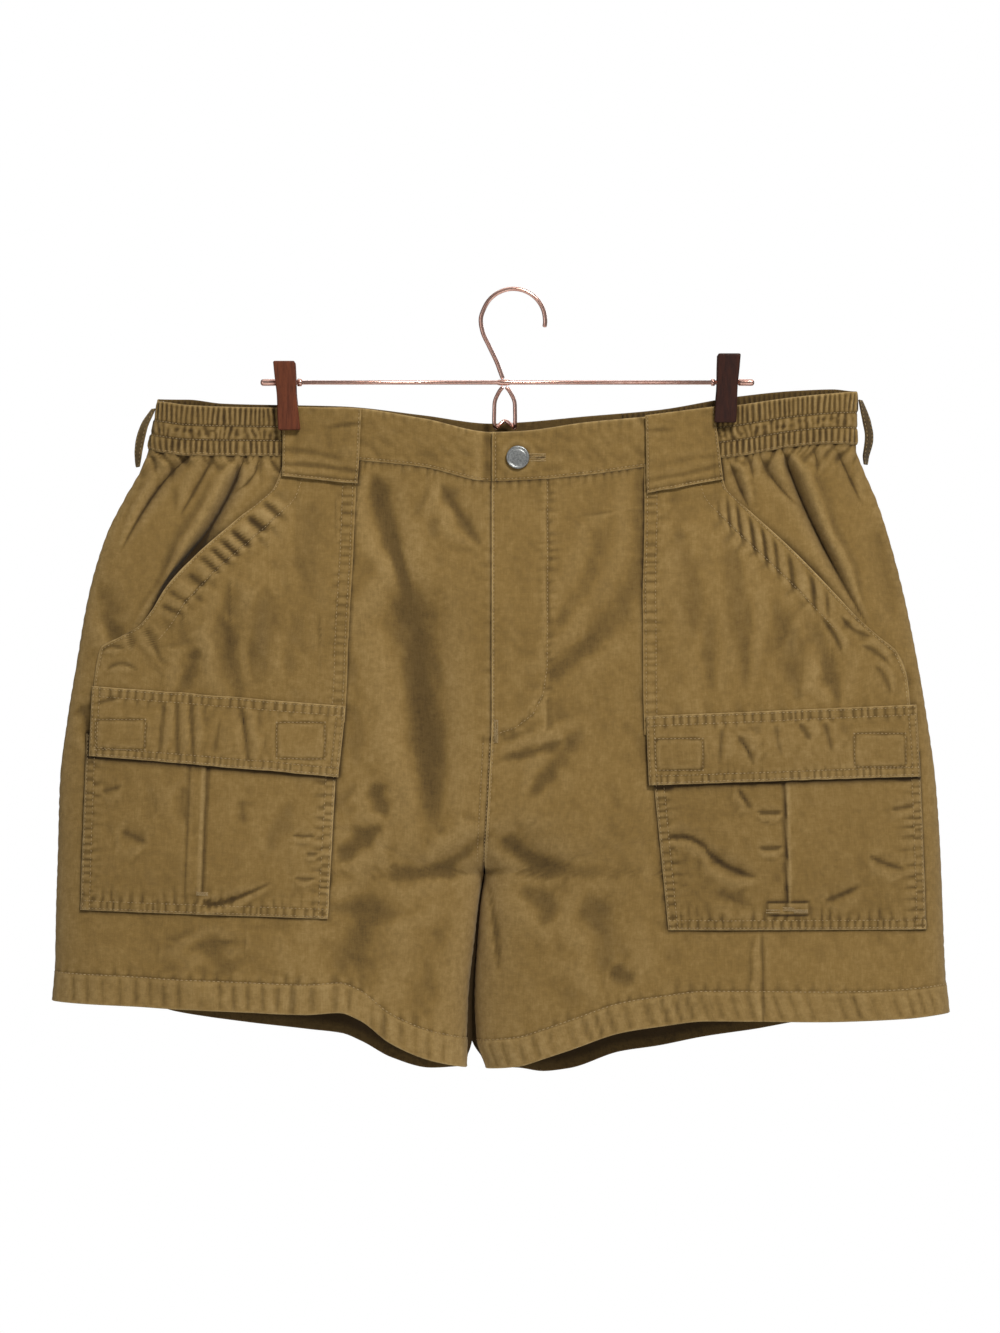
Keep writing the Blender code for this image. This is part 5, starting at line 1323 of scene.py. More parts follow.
def hip_patch(half, rows):
    """A hip pocket: a patch on the front with a slanted open mouth."""
    outer_edge, inner_edge_at = column_curve(rows, 0, 1), column_curve(rows, 0, 2)
    top, foot = rows[0][0], rows[-1][0]
    down = marks(top - foot, 1.7, RIM)
    heights = top - down * (top - foot)
    wide = np.abs(outer_edge(heights) - inner_edge_at(heights))
    lean = np.sqrt(1 + np.gradient(outer_edge(heights), heights) ** 2)
    middle = np.linspace(0, 1, 118)
    low = (np.array([0.0, 0.5])[None, :] / wide[:, None])
    high = 1 - (np.array([0.5, 0.0])[None, :] * lean[:, None] / wide[:, None])
    span = (1.3 / wide)[:, None], (1 - 1.3 * lean / wide)[:, None]
    shares = np.concatenate([low, span[0] + middle[None, :] * (span[1] - span[0]), high], axis=1)
    z = np.repeat(heights[:, None], shares.shape[1], axis=1)
    x = inner_edge_at(z) + (outer_edge(z) - inner_edge_at(z)) * shares
    mouth = [(row[1], row[0]) for row in rows[:7]]
    side = [(row[1], row[0]) for row in rows[6:]]
    seam = [(row[2], row[0]) for row in rows]
    seed = 110 + half
    widest = 5.5 if half == LEFT else 3.8

    def parts(x, z):
        return [path_frame(x, z, path) for path in (mouth, side, seam)]

    def cells(along, off):
        """The band beside the mouth, drawn up into small pillows between its two rows of stitches."""
        skew = along + (0.15 if half == LEFT else -1.2) * off
        pitch, height = (13.5, 2.2) if half == LEFT else (15.5, 1.5)
        ridge = pucker(skew, 0 * off, pitch, 9.0, height, seed)
        return ridge * between(off, 6.0, 21.5, 8.0) * fades(along)

    def fades(along):
        return ease((along - 16.0) / 30.0) * ease((MOUTH_LENGTH[half] - 6.0 - along) / 46.0)

    def out(x, z):
        (mouth_a, mouth_o), at_side, at_seam = parts(x, z)
        length = MOUTH_LENGTH[half] + 4.0
        lift = widest * np.sin(math.pi * np.clip((mouth_a - 8) / (length - 8), 0, 1)) ** 1.2
        relief = lift * np.exp(-((mouth_o / 13.0) ** 1.6)) * (mouth_a < length)
        relief = relief + pinch(mouth_o, PATCH_ROW, 0.45, 1.4) * fades(mouth_a) + pinch(mouth_o, 1.8, 0.2)
        relief += cells(mouth_a, mouth_o)
        past_row = pucker(mouth_a, np.maximum(mouth_o - PATCH_ROW, 0), 15.0, 9.0, 0.55, seed + 2)
        relief += past_row * (mouth_o > PATCH_ROW) * fades(mouth_a)
        relief += sewn_edge(*at_seam, (2.6, 10.5), 7.0, 0.5, seed + 3)
        relief += sewn_edge(*at_side, (1.8,), 8.0, 0.35, seed + 5)
        relief = relief + 0.22 * noise(x / 12, z / 14, seed + 6) + 0.4 * noise(x / 30, z / 42, seed + 8)
        relief -= 0.9 * crease_depth(PATCH_CREASES[half], x, z)
        return PATCH_OUT - PATCH_SINK + np.logaddexp(0, (relief + PATCH_SINK) * 4) / 4

    (mouth_a, mouth_o), (_, side_o), (_, seam_o) = parts(x, z)
    reach = out(x, z)
    # pale rims and pillow tops: rubbed cloth plus painted highlight; painted shade in the creases and along
    # the row beside the mouth
    ridge = cells(mouth_a, mouth_o) - 0.8 * crease_depth(PATCH_CREASES[half], x, z)
    wear_and_highlight = np.maximum(rim_wear_and_highlight(mouth_o, 0.75, 1.1), rim_wear_and_highlight(seam_o, 0.30, 0.8))
    wear_and_highlight = np.maximum(wear_and_highlight, rim_wear_and_highlight(side_o, 0.5, 0.9)) + np.clip(ridge * 0.12, 0, 0.2)
    shade = np.clip(-ridge * 0.25, 0, 0.4) + 0.2 * bell(mouth_o - PATCH_ROW, 1.2) * fades(mouth_a)
    lift = np.maximum(reach - PATCH_OUT, 0) * bell(mouth_o, 12.0)
    sewn_on("hip_patch_", half, x, z, reach, PATCH_IN + lift * 0.95, wear_and_highlight, shade, "front_panel_")
    for path, off in ((mouth, 1.8), (mouth, PATCH_ROW), (seam, 2.6), (seam, 10.5), (side, 1.8)):
        line = np.array(path, float)
        run = path_run(*line.T)
        at = np.linspace(4.0 if off > 5 else 1.5, run[-1] - 3.0, int(run[-1] / 2.0))
        px, pz = np.interp(at, run, line[:, 0]), np.interp(at, run, line[:, 1])
        tx, tz = np.gradient(px, at), np.gradient(pz, at)
        size = np.hypot(tx, tz)
        inward = np.stack([-tz, tx], 1) / size[:, None]
        centre = np.array([(outer_edge(-250.0) + inner_edge_at(-250.0)) / 2, -250.0])
        if float(np.dot(inward[len(at) // 2], centre - line[len(line) // 2])) < 0:
            inward = -inward
        px, pz = px + inward[:, 0] * off, pz + inward[:, 1] * off
        keep = (half * (px - inner_edge_at(pz)) > 1.2) & (pz < top - 1.0) & (pz > foot + 1.0)
        add_row("seam", lifted(half, px[keep], pz[keep], out(px[keep], pz[keep]) + THREAD_LIFT))


def pouch(half, corners, pleat):
    """A cargo pocket: a puffed patch with a pleat down its middle, tacked at the foot."""
    (ax, _), (bx, _), _, _ = corners
    across, down = marks(abs(bx - ax), 1.7, RIM), marks(135.0, 1.7, RIM)
    top_z, foot_z = (corners[0][1] + corners[1][1]) / 2, (corners[2][1] + corners[3][1]) / 2
    tack_z = foot_z + 17.0
    seed = 130 + half

    def welt(x, z):
        """The doubled foot of the right pleat, tacked down as a short raised bar."""
        return between(x, 202.0, 233.0) * between(-z, 488.0, 496.5)

    def pleat_line(x, z):
        """How far a place lies beyond the pleat's edge, and 1 where the pleat isn't tacked down."""
        line = pleat[0] + (pleat[1] - pleat[0]) * (top_z - z) / (top_z - foot_z)
        return (x - line) * -half, ease((z - tack_z + 3) / 6.0)

    def out(x, z):
        frames, t, s = quad_frames(corners, x, z)
        relief = POUCH_PUFF * np.clip(np.sin(math.pi * t), 0, 1) ** 0.6 * np.clip(1 - s**3, 0, 1)
        for k, (a, o) in enumerate((frames[0], frames[1], frames[3])):
            beyond_rows = o - POUCH_ROWS[1]
            relief += sewn_edge(a, o, POUCH_ROWS, 6.3, 0.7, seed + 10 * k)
            drawn = pucker(a, np.maximum(beyond_rows, 0), 9.0, 8.0, 0.45, seed + 3 + 10 * k)
            relief += drawn * (beyond_rows > 0)
        far, held = pleat_line(x, z)
        sharp = 0.95 if half == LEFT else 0.8
        step = np.where(far > 0, -sharp * np.exp(-far / 9.0), sharp * np.exp(far / 16.0))
        relief = relief + held * step * ease(np.abs(far) / 0.7) + held * pinch(far, 0.35, 0.5, 0.6)
        if half == LEFT:
            relief += held * pinch(far, -13.0, 0.4, 1.5)
        relief = relief + 0.45 * noise(x / 26, z / 30, seed + 5) + 0.25 * noise(x / 11, z / 13, seed + 6)
        if half == RIGHT:
            relief += 0.8 * welt(x, z)
        return PATCH_OUT + relief - crease_depth(POUCH_CREASES[half], x, z)

    x, z = quad_xz(corners, across, down)
    frames = quad_frames(corners, x, z)[0]
    reach = np.maximum(out(x, z), 1.2)
    # pale rims: rubbed cloth plus painted highlight
    wear_and_highlight = np.maximum.reduce([rim_wear_and_highlight(frames[k][1], 0.8, 1.2) for k in (0, 1, 3)])
    far, held = pleat_line(x, z)
    # painted shade in the pleat's fold and in the creases
    shade = 0.5 * bell(far, 0.6) * held + np.clip(0.09 * crease_depth(POUCH_CREASES[half], x, z), 0, 0.3)
    if half == RIGHT:
        # painted shade along the edges of the tacked welt
        for line_z in (-487.0, -497.5):
            shade += 0.55 * bell(z - line_z, 0.9) * between(x, 201.0, 234.0)
    # painted shadow under the flap's foot
    shade = np.maximum(shade, painted_edge_shadow(FLAP_LEFT if half == LEFT else FLAP_RIGHT, x, z, 3.2))
    # a little painted shade over the whole pocket, more on the right one
    shade += 0.08 if half == RIGHT else 0.02
    # painted highlight beside the pleat's edge
    wear_and_highlight = np.maximum(wear_and_highlight, 0.3 * bell(far + 1.6, 1.1) * held)
    inner = PATCH_IN + np.maximum(reach - PATCH_OUT, 0) * 0.98
    sewn_on("cargo_pocket_", half, x, z, reach, inner, wear_and_highlight, shade, "front_panel_")
    edge_rows(half, corners, (POUCH_ROWS, POUCH_ROWS, (), POUCH_ROWS), out)
    tack_x = pleat[1] + (0.0 if half == RIGHT else 1.0)
    bartack(half, (tack_x - 4, tack_z), (tack_x + 5, tack_z - 0.6), out)
    if half == RIGHT:
        bartack(half, (tack_x - 17, foot_z + 15), (tack_x - 6, foot_z + 15), out)
        bartack(half, (tack_x + 5, foot_z + 15), (tack_x + 16, foot_z + 15), out)


# creases of the cargo pockets and of their flaps, with the columns of the panels' creases
POUCH_CREASES = {
    LEFT: ((-245, -485, -232, -488, -197, -474, 3.2, 3, 1.3),
           (-311, -431, -300, -436, -290, -440, 6, 1.5, 0.7),
           (-176, -408, -186, -431, -198, -452, 9, 1, 0.5),
           (-174, -434, -165, -435, -156, -434, 1.8, 1.3, 0.6),
           (-164, -449, -159, -449, -154, -449, 1.8, 1.2, 0.5),
           (-172, -468, -164, -469, -156, -468, 1.8, 1, 0.4),
           (-326, -400, -318, -398, -310, -396, 4, 1, 0.4),
           (-260, -394, -261, -410, -259, -428, 6, 0.9, 0.4),
           (-214, -406, -214, -416, -213, -428, 6, 0.7, 0.3)),
    RIGHT: ((123, -437, 142, -437, 160, -452, 4.5, 2.2, 1),
            (154, -448, 172, -460, 192, -467, 5.5, 3.2, 1.4),
            (194, -416, 204, -417, 213, -416, 2.2, 1.5, 0.6),
            (195, -444, 204, -445, 213, -443, 2.2, 1.5, 0.6),
            (178, -398, 184, -407, 189, -415, 3, 1.3, 0.6), (248, -486, 261, -481, 274, -475, 5, 1.6, 0.7),
            (284, -452, 298, -458, 311, -462, 4.5, 1.4, 0.6), (300, -414, 309, -413, 318, -411, 3, 1, 0.4),
            (160, -478, 175, -485, 190, -490, 7, 1, 0.4)),
}
FLAP_CREASES = {
    LEFT: ((-267, -323, -266, -350, -265, -380, 3.2, 0.9, -0.4),
           (-256, -324, -254, -350, -253, -380, 3, 0.9, -0.4),
           (-276, -326, -278, -350, -279, -372, 3, 0.6, -0.3),
           (-216, -330, -212, -356, -209, -382, 3.6, 1.2, -0.6),
           (-232, -344, -234, -358, -236, -372, 5, 0.5, -0.2),
           (-330, -330, -321, -327, -312, -325, 2.6, 0.8, -0.4)),
    RIGHT: ((178, -356, 185, -366, 190, -378, 4, 1.3, -0.6), (227, -346, 232, -353, 235, -360, 4, 1, -0.5),
            (247, -345, 250, -358, 252, -370, 4, 0.7, -0.3),
            (166, -350, 164, -364, 163, -378, 4, 0.6, -0.3),
            (208, -348, 210, -360, 212, -372, 5, 0.5, -0.2)),
}


def square_edge(x, z, square):
    """Distance in from the edge of a square with rounded corners; below 0 outside it."""
    x0, x1, z0, z1 = square
    over = np.abs(x - (x0 + x1) / 2) - (x1 - x0) / 2 + 4.0
    above = np.abs(z - (z0 + z1) / 2) - (z0 - z1) / 2 + 4.0
    outside = np.hypot(np.maximum(over, 0), np.maximum(above, 0))
    return 4.0 - outside - np.minimum(np.maximum(over, above), 0)


def flap(half, corners):
    """A cargo flap, standing off its pocket, with its squares of tape stitched through."""
    across, down = marks(abs(corners[1][0] - corners[0][0]), 1.7, RIM), marks(56.0, 1.5, RIM)
    seed = 160 + half

    def lift_of(t, s):
        """How far the flap stands off its pocket: most at the middle of its foot."""
        return 0.1 + (4.4 * np.clip(np.sin(math.pi * t), 0, 1) ** 0.6 + 0.8) * ease(s * 1.5)

    def out(x, z):
        frames, t, s = quad_frames(corners, x, z)
        relief = lift_of(t, s)
        for k, rows, pitch, height, more in FLAP_EDGES:
            relief += sewn_edge(*frames[k], rows, pitch, height, seed + more)
        for square in TAPE_SQUARES[half]:
            edge = square_edge(x, z, square)
            relief = relief - 0.45 * bell(edge, 1.2) + 0.2 * ease(edge / 2.5)
        relief -= 1.5 * crease_depth(FLAP_CREASES[half], x, z)
        relief = relief + 0.3 * noise(x / 19, z / 17, seed + 8) + 0.16 * noise(x / 8, z / 9, seed + 9)
        return FLAP_BASE + FLAP_WALL + relief

    x, z = quad_xz(corners, across, down)
    frames, t, s = quad_frames(corners, x, z)
    reach = out(x, z)
    # pale rims, widest at the foot: rubbed cloth plus painted highlight
    amounts = (0.6, 0.6, 0.75, 0.8)
    wear_and_highlight = np.maximum.reduce([rim_wear_and_highlight(off, amount, 0.95) for (_, off), amount in zip(frames, amounts)])
    wear_and_highlight = np.maximum(wear_and_highlight, rim_wear_and_highlight(frames[3][1], 0.7, 1.6))
    # painted shade over the whole flap, more on the right one, and along the stitched tape squares
    shade = np.full(wear_and_highlight.shape, 0.10 if half == RIGHT else 0.03)
    for square in TAPE_SQUARES[half]:
        shade += 0.08 * bell(square_edge(x, z, square), 1.0)
    inner = FLAP_BASE + lift_of(t, s)
    sewn_on("cargo_flap_", half, x, z, reach, inner, wear_and_highlight, shade, "front_panel_", soft_edge=1.0)
    edge_rows(half, corners, (FLAP_SIDE_ROWS, FLAP_SIDE_ROWS, FLAP_TOP_ROWS, FLAP_FOOT_ROWS), out)
    for x0, x1, z0, z1 in TAPE_SQUARES[half]:
        turning = ((x0, z0), (x1, z0), (x1, z1), (x0, z1), (x0, z0))
        for start, end in zip(turning, turning[1:]):
            stitch_line(half, start, end, out)


def wide_tab(half, corners):
    """The wide tab over the waistband beside a clip."""
    across, down = marks(abs(corners[1][0] - corners[0][0]), 1.5, RIM), marks(60.0, 1.5, RIM)
    seed = 190 + half

    def out(x, z):
        frames, t, _ = quad_frames(corners, x, z)
        (in_a, in_o), (out_a, out_o), (top_a, top_o), (low_a, low_o) = frames
        relief = sewn_edge(in_a, in_o, (1.6,), 9.0, 0.14, seed)
        relief += sewn_edge(out_a, out_o, (1.6,), 9.0, 0.14, seed + 20)
        relief = relief + pinch(low_o, 1.9, 0.2) + 0.45 * bell(low_o, 2.2)
        relief -= 0.55 * bell(low_o - 11.0 - 1.2 * noise(low_a / 15, 0, seed), 2.6)
        relief -= 0.4 * bell(low_o - 21.0 - 1.5 * noise(low_a / 19, 0, seed + 1), 3.2) * ease(t * 2)
        relief -= 0.5 * bell(top_o - 12.0 - 0.12 * top_a, 2.4) * ease((0.55 - t) / 0.4)
        relief = relief + 0.35 * noise(x / 16, z / 13, seed + 3) + 0.2 * noise(x / 7, z / 7, seed + 4)
        return TAB_OUT + relief

    x, z = quad_xz(corners, across, down)
    frames = quad_frames(corners, x, z)[0]
    # pale rims: rubbed cloth plus painted highlight; painted shade along the row at the foot
    amounts = (0.5, 0.5, 0.6, 0.8)
    wear_and_highlight = np.maximum.reduce([rim_wear_and_highlight(off, amount, 1.0) for (_, off), amount in zip(frames, amounts)])
    shade = 0.25 * bell(frames[3][1] - 3.2, 1.0)
    sewn_on("wide_tab_", half, x, z, out(x, z), TAB_IN, wear_and_highlight, shade, "waistband_front_")
    edge_rows(half, corners, ((1.6,), (1.6,), (), (1.9,)), out)


for half, patch, pocket, pleat, lid, tab in (
        (LEFT, HIP_PATCH_LEFT, POCKET_LEFT, PLEAT_LEFT, FLAP_LEFT, TAB_LEFT),
        (RIGHT, HIP_PATCH_RIGHT, POCKET_RIGHT, PLEAT_RIGHT, FLAP_RIGHT, TAB_RIGHT)):
    hip_patch(half, patch)
    pouch(half, pocket, pleat)
    flap(half, lid)
    wide_tab(half, tab)

bartack(RIGHT, (-13.4, -343.0), (-13.4, -361.0), lambda x, z: PANEL_OUT + 0.5)


# ---------------- side loops and zip tape
# height, stand-off of the loop's front edge from the band
LOOP_LEFT = ((-94, 1.9), (-100, 3.3), (-110, 5), (-119, 5.3), (-128, 4.8), (-135, 3.5), (-141, 2.2))
LOOP_RIGHT = ((-87, 1.9), (-94, 3.2), (-105, 5.6), (-116, 7.4), (-126, 6.4), (-133, 4), (-139, 2.2))
LOOP_WIDTH, LOOP_ROW = 11.0, 2.0
LOOP_TURN, LOOP_FLAT = math.radians(40), 0.06  # between its sewn ends a loop has twisted to face forwards


def side_loop(half, rows):
    """The narrow loop at a side of the waistband, twisted a little forwards."""
    heights = np.array([row[0] for row in rows])
    reach = column_curve(rows, 0, 1)
    down, across = marks(heights[0] - heights[-1], 1.3, (0.5,)), marks(LOOP_WIDTH, 0.9, (0.4,))
    z = heights[0] + down * (heights[-1] - heights[0])
    turn = LOOP_TURN * np.sin(math.pi * (LOOP_FLAT + (1 - 2 * LOOP_FLAT) * down)) ** 0.6
    spread = LOOP_WIDTH * np.stack([half * np.sin(turn), np.cos(turn), 0 * turn], 1)
    front = np.stack([side_at[half](z) + half * reach(z), -spread[:, 1] / 2, z], 1)
    points = front[:, None, :] + across[None, :, None] * spread[:, None, :]
    normal = grid_normals(points, (half, 0, 0))
    run, fall = run_lengths(points, 1), run_lengths(points, 0)
    relief = pinch(run, LOOP_ROW, 0.15) + pinch(LOOP_WIDTH - run, LOOP_ROW, 0.15)
    relief += 0.18 * noise(fall / 6, run / 5, 210 + half)
    # pale rims: rubbed cloth plus painted highlight
    wear_and_highlight = np.maximum(rim_wear_and_highlight(run, 0.6), rim_wear_and_highlight(LOOP_WIDTH - run, 0.6))
    # the whole loop darkened with painted shade, the right one most
    skin = cut_piece("side_loop_" + SIDE[half], points, normal, 0.7 + relief, -0.7, wear_and_highlight,
                     0.6 if half == LEFT else 0.85, "waistband_side_" + SIDE[half], soft_edge=0.6)
    drop = np.linspace(0.03, 0.97, 26)
    for share in (LOOP_ROW / LOOP_WIDTH, 1 - LOOP_ROW / LOOP_WIDTH):
        add_row("seam", grid_row(skin + normal * 0.1, across, down, share, drop))


side_loop(LEFT, LOOP_LEFT)
side_loop(RIGHT, LOOP_RIGHT)

ZIP_LEFT, ZIP_TOP, ZIP_WIDE, ZIP_TALL = -29.0, -159.0, 37.0, 179.0
zip_across, zip_down = marks(ZIP_WIDE, 2.2, (0.5,)), marks(ZIP_TALL, 3.0, (0.5,))
zip_x, zip_z = np.meshgrid(ZIP_LEFT + zip_across * ZIP_WIDE, ZIP_TOP - zip_down * ZIP_TALL)
zip_y = np.where(zip_x < centre_at(zip_z), cloth_y(LEFT, FRONT, zip_x, zip_z),
                 cloth_y(RIGHT, FRONT, zip_x, zip_z))
zip_points = np.stack([zip_x, zip_y + 1.8, zip_z], axis=-1)
zip_normal = grid_normals(zip_points, (0, -1, 0))
cut_piece("fly_zip", zip_points, zip_normal, 0.45, -0.45, 0.0, 0.0,
          ("front_panel_left", "front_panel_right"),
          name="zip_tape", soft_edge=0.4, material=TAPE)
tooth_back = zip_points - zip_normal * 0.75
for share in (0.47, 0.53):
    drop = np.linspace(0.01, 0.97, 120)
    add_row("zip", grid_row(tooth_back, zip_across, zip_down, share, drop))

sew("hem_stitches", "hem", 3.6, 2.6, 0.66, 1)
sew("seam_stitches", "seam", 3.1, 2.3, 0.5, 2)
sew("elastic_stitches", "elastic", 2.7, 2.2, 0.42, 3)
sew("satin_stitches", "satin", 1.0, 1.5, 0.5, 4)
sew("zip_teeth", "zip", 2.0, 1.1, 1.3, 5, material=BRASS)


# ---------------- button
def ring_piece(name, rings, material, replaced, smooth=True):
    """A closed piece of metal or wood: a skin over rings of points in mm, with its two ends capped."""
    work = bmesh.new()
    rings = [[work.verts.new([float(c) * MM for c in at]) for at in ring] for ring in rings]
    for low, high in zip(rings, rings[1:]):
        count = len(low)
        for k in range(count):
            work.faces.new((low[k], low[(k + 1) % count], high[(k + 1) % count], high[k]))
    work.faces.new(rings[0][::-1])
    work.faces.new(rings[-1])
    bmesh.ops.recalc_face_normals(work, faces=work.faces)
    mesh = bpy.data.meshes.new(name)
    work.to_mesh(mesh)
    work.free()
    mesh.polygons.foreach_set("use_smooth", [smooth] * len(mesh.polygons))
    mesh.materials.append(material)
    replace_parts(add_look(name, mesh), replaced)


def turns(sides):
    return [2 * math.pi * k / sides for k in range(sides)]


# radius, how far it stands out from the band: shank, underside, rolled rim, sunk ring, shallow dome
BUTTON_PROFILE = (
    (2.0, -1.5), (2.0, 0.5), (7.4, 0.55), (8.7, 0.8), (9.2, 1.4), (9.25, 2.0), (9.05, 2.6), (8.6, 2.95),
    (8.1, 3.0), (7.7, 2.85), (7.4, 2.55), (7.0, 2.4), (6.5, 2.45), (6.2, 2.6), (5.4, 2.66), (4.0, 2.72),
    (2.4, 2.78), (0.8, 2.8),
)


def waist_button():
    band_y = float(cloth_y(RIGHT, FRONT, BUTTON_X, BUTTON_Z)) - BAND_OUT
    rings = []
    for radius, out in BUTTON_PROFILE:
        ring = []
        for a in turns(72):
            worn = 0.05 * math.sin(3 * a + radius) if 2.2 < radius < 6.4 and out > 2 else 0.0
            ring.append((BUTTON_X + radius * math.cos(a), band_y - out - worn,
                         BUTTON_Z + radius * math.sin(a)))
        rings.append(ring)
    ring_piece("silver_button", rings, SILVER, "waist_button")


waist_button()


# ---------------- hanger
WIRE_RADIUS, BAR_HEIGHT = 1.75, -73.2
BAR_LEFT, BAR_RIGHT, BAR_END_RADIUS = -202.0, 193.0, 2.7
EYE_RADIUS = 25.4
EYE_CENTRE = (0.3, WIRE_RADIUS - EYE_RADIUS)


def smooth_path(points, spacing):
    """Evenly spaced points on a smooth curve through the given ones."""
    points = np.array(points, float)
    ends = np.vstack([2 * points[0] - points[1], points, 2 * points[-1] - points[-2]])
    dense = []
    for i in range(1, len(ends) - 2):
        before, a, b, after = ends[i - 1:i + 3]
        for t in np.linspace(0, 1, 24, endpoint=False):
            dense.append(0.5 * (2 * a + (b - before) * t + (2 * before - 5 * a + 4 * b - after) * t * t
                                + (3 * a - before - 3 * b + after) * t**3))
    dense.append(points[-1])
    dense = np.array(dense)
    run = np.concatenate([[0], np.cumsum(np.linalg.norm(np.diff(dense, axis=0), axis=1))])
    places = np.linspace(0, run[-1], max(3, int(run[-1] / spacing)))
    return np.stack([np.interp(places, run, dense[:, k]) for k in range(3)], axis=1)


def tube(name, path, radius, replaced):
    """A wire with rounded ends along a path of points."""
    tangent = np.gradient(path, axis=0)
    tangent /= np.linalg.norm(tangent, axis=1, keepdims=True)
    up = np.array([0.0, 1.0, 0.0])
    rings, stops = [], []
    for a in (0.30, 0.75, 1.2):
        stops.append((path[0] - tangent[0] * radius * math.cos(a) * 0.6, tangent[0], radius * math.sin(a)))
    for point, along in zip(path, tangent):
        stops.append((point, along, radius))
    for a in (1.2, 0.75, 0.30):
        stops.append((path[-1] + tangent[-1] * radius * math.cos(a) * 0.6, tangent[-1],
                      radius * math.sin(a)))
    for point, along, size in stops:
        side = np.cross(along, up)
        side /= np.linalg.norm(side)
        other = np.cross(side, along)
        rings.append([point + size * (math.cos(a) * side + math.sin(a) * other) for a in turns(20)])
    ring_piece(name, rings, COPPER, replaced)


hook_path = [(-8.4, 0, BAR_HEIGHT + WIRE_RADIUS + 2.1), (-10.2, 0, -64.5), (-13.2, 0, -56.5),
             (-19.2, 0, -44.0), (-24.0, 0, -33.6)]
for angle in (178, 160, 142, 124, 106, 90, 72, 54, 36, 18, 0, -10):
    a = math.radians(angle)
    hook_path.append((EYE_CENTRE[0] + EYE_RADIUS * math.cos(a), 0,
                      EYE_CENTRE[1] + EYE_RADIUS * math.sin(a)))
hook_path[5] = (-25.8, 0, -23.0)
tube("copper_hook", smooth_path(hook_path, 1.6), WIRE_RADIUS, "hanger_hook")

LOOP_Y = -1.0
loop_path = [(-8.6, LOOP_Y, BAR_HEIGHT - 4.2), (-11.0, LOOP_Y, -80.5), (-14.4, LOOP_Y, -88.0),
             (-15.0, LOOP_Y, -97.0), (-15.0, LOOP_Y, -106.5), (-13.6, 1.0, -109.6), (-10.4, 4.0, -106.6),
             (-6.4, 5.6, -103.8), (-1.9, 4.0, -106.6), (1.2, 1.0, -109.6), (1.6, LOOP_Y, -106.5),
             (1.6, LOOP_Y, -97.0), (1.0, LOOP_Y, -88.0), (-2.6, LOOP_Y, -80.5),
             (-5.0, LOOP_Y, BAR_HEIGHT - 4.2)]
tube("copper_loop", smooth_path(loop_path, 1.4), 1.6, "hanger_loop")

# across, radius: the bar, with thicker rounded ends, a small collar inside each clip and a soldered hub
BAR_PROFILE = (
    (BAR_LEFT, 0.7), (BAR_LEFT + 0.25, 1.5), (BAR_LEFT + 0.8, 2.2), (BAR_LEFT + 1.6, 2.6),
    (BAR_LEFT + 2.4, BAR_END_RADIUS), (-190.3, BAR_END_RADIUS), (-189.6, 2.5), (-189.0, WIRE_RADIUS),
    (-172.8, WIRE_RADIUS), (-172.4, 2.8), (-171.8, 3.1), (-169.6, 3.1), (-169.0, 2.8),
    (-168.6, WIRE_RADIUS), (-12.6, WIRE_RADIUS), (-11.6, 2.2), (-9.4, 2.5), (-5.4, 2.5), (-3.2, 2.2),
    (-2.2, WIRE_RADIUS), (158.2, WIRE_RADIUS), (158.5, 2.5), (159.1, 2.8), (160.7, 2.8), (161.3, 2.5),
    (161.6, WIRE_RADIUS), (180.0, WIRE_RADIUS), (180.6, 2.5), (181.3, BAR_END_RADIUS),
    (BAR_RIGHT - 2.4, BAR_END_RADIUS), (BAR_RIGHT - 1.6, 2.6), (BAR_RIGHT - 0.8, 2.2),
    (BAR_RIGHT - 0.25, 1.5), (BAR_RIGHT, 0.7),
)
bar_rings = [[(x, radius * math.cos(a), BAR_HEIGHT + radius * math.sin(a)) for a in turns(28)]
             for x, radius in BAR_PROFILE]
ring_piece("copper_bar", bar_rings, COPPER, "hanger_bar")

CLIP_TALL, SPRING_FOOT = 55.0, -81.5
CLIP_THICK, CLIP_LEAN = 4.6, 3.0
# middle at the top, middle at the bottom, top height, wide at the top, the waist and the foot, then the
# wood and its name; the right clip's darker wood is painted shade
CLIPS = {
    LEFT: (-182.8, -178.6, -56.6, 17.4, 15.6, 17.8, RED_WOOD, "red_brown_wood"),
    RIGHT: (172.6, 169.4, -50.6, 18.2, 16.4, 17.8, SHADED_WOOD, "dark_brown_wood"),
}
FRONT_FOOT, BACK_FOOT = -7.4, 4.0


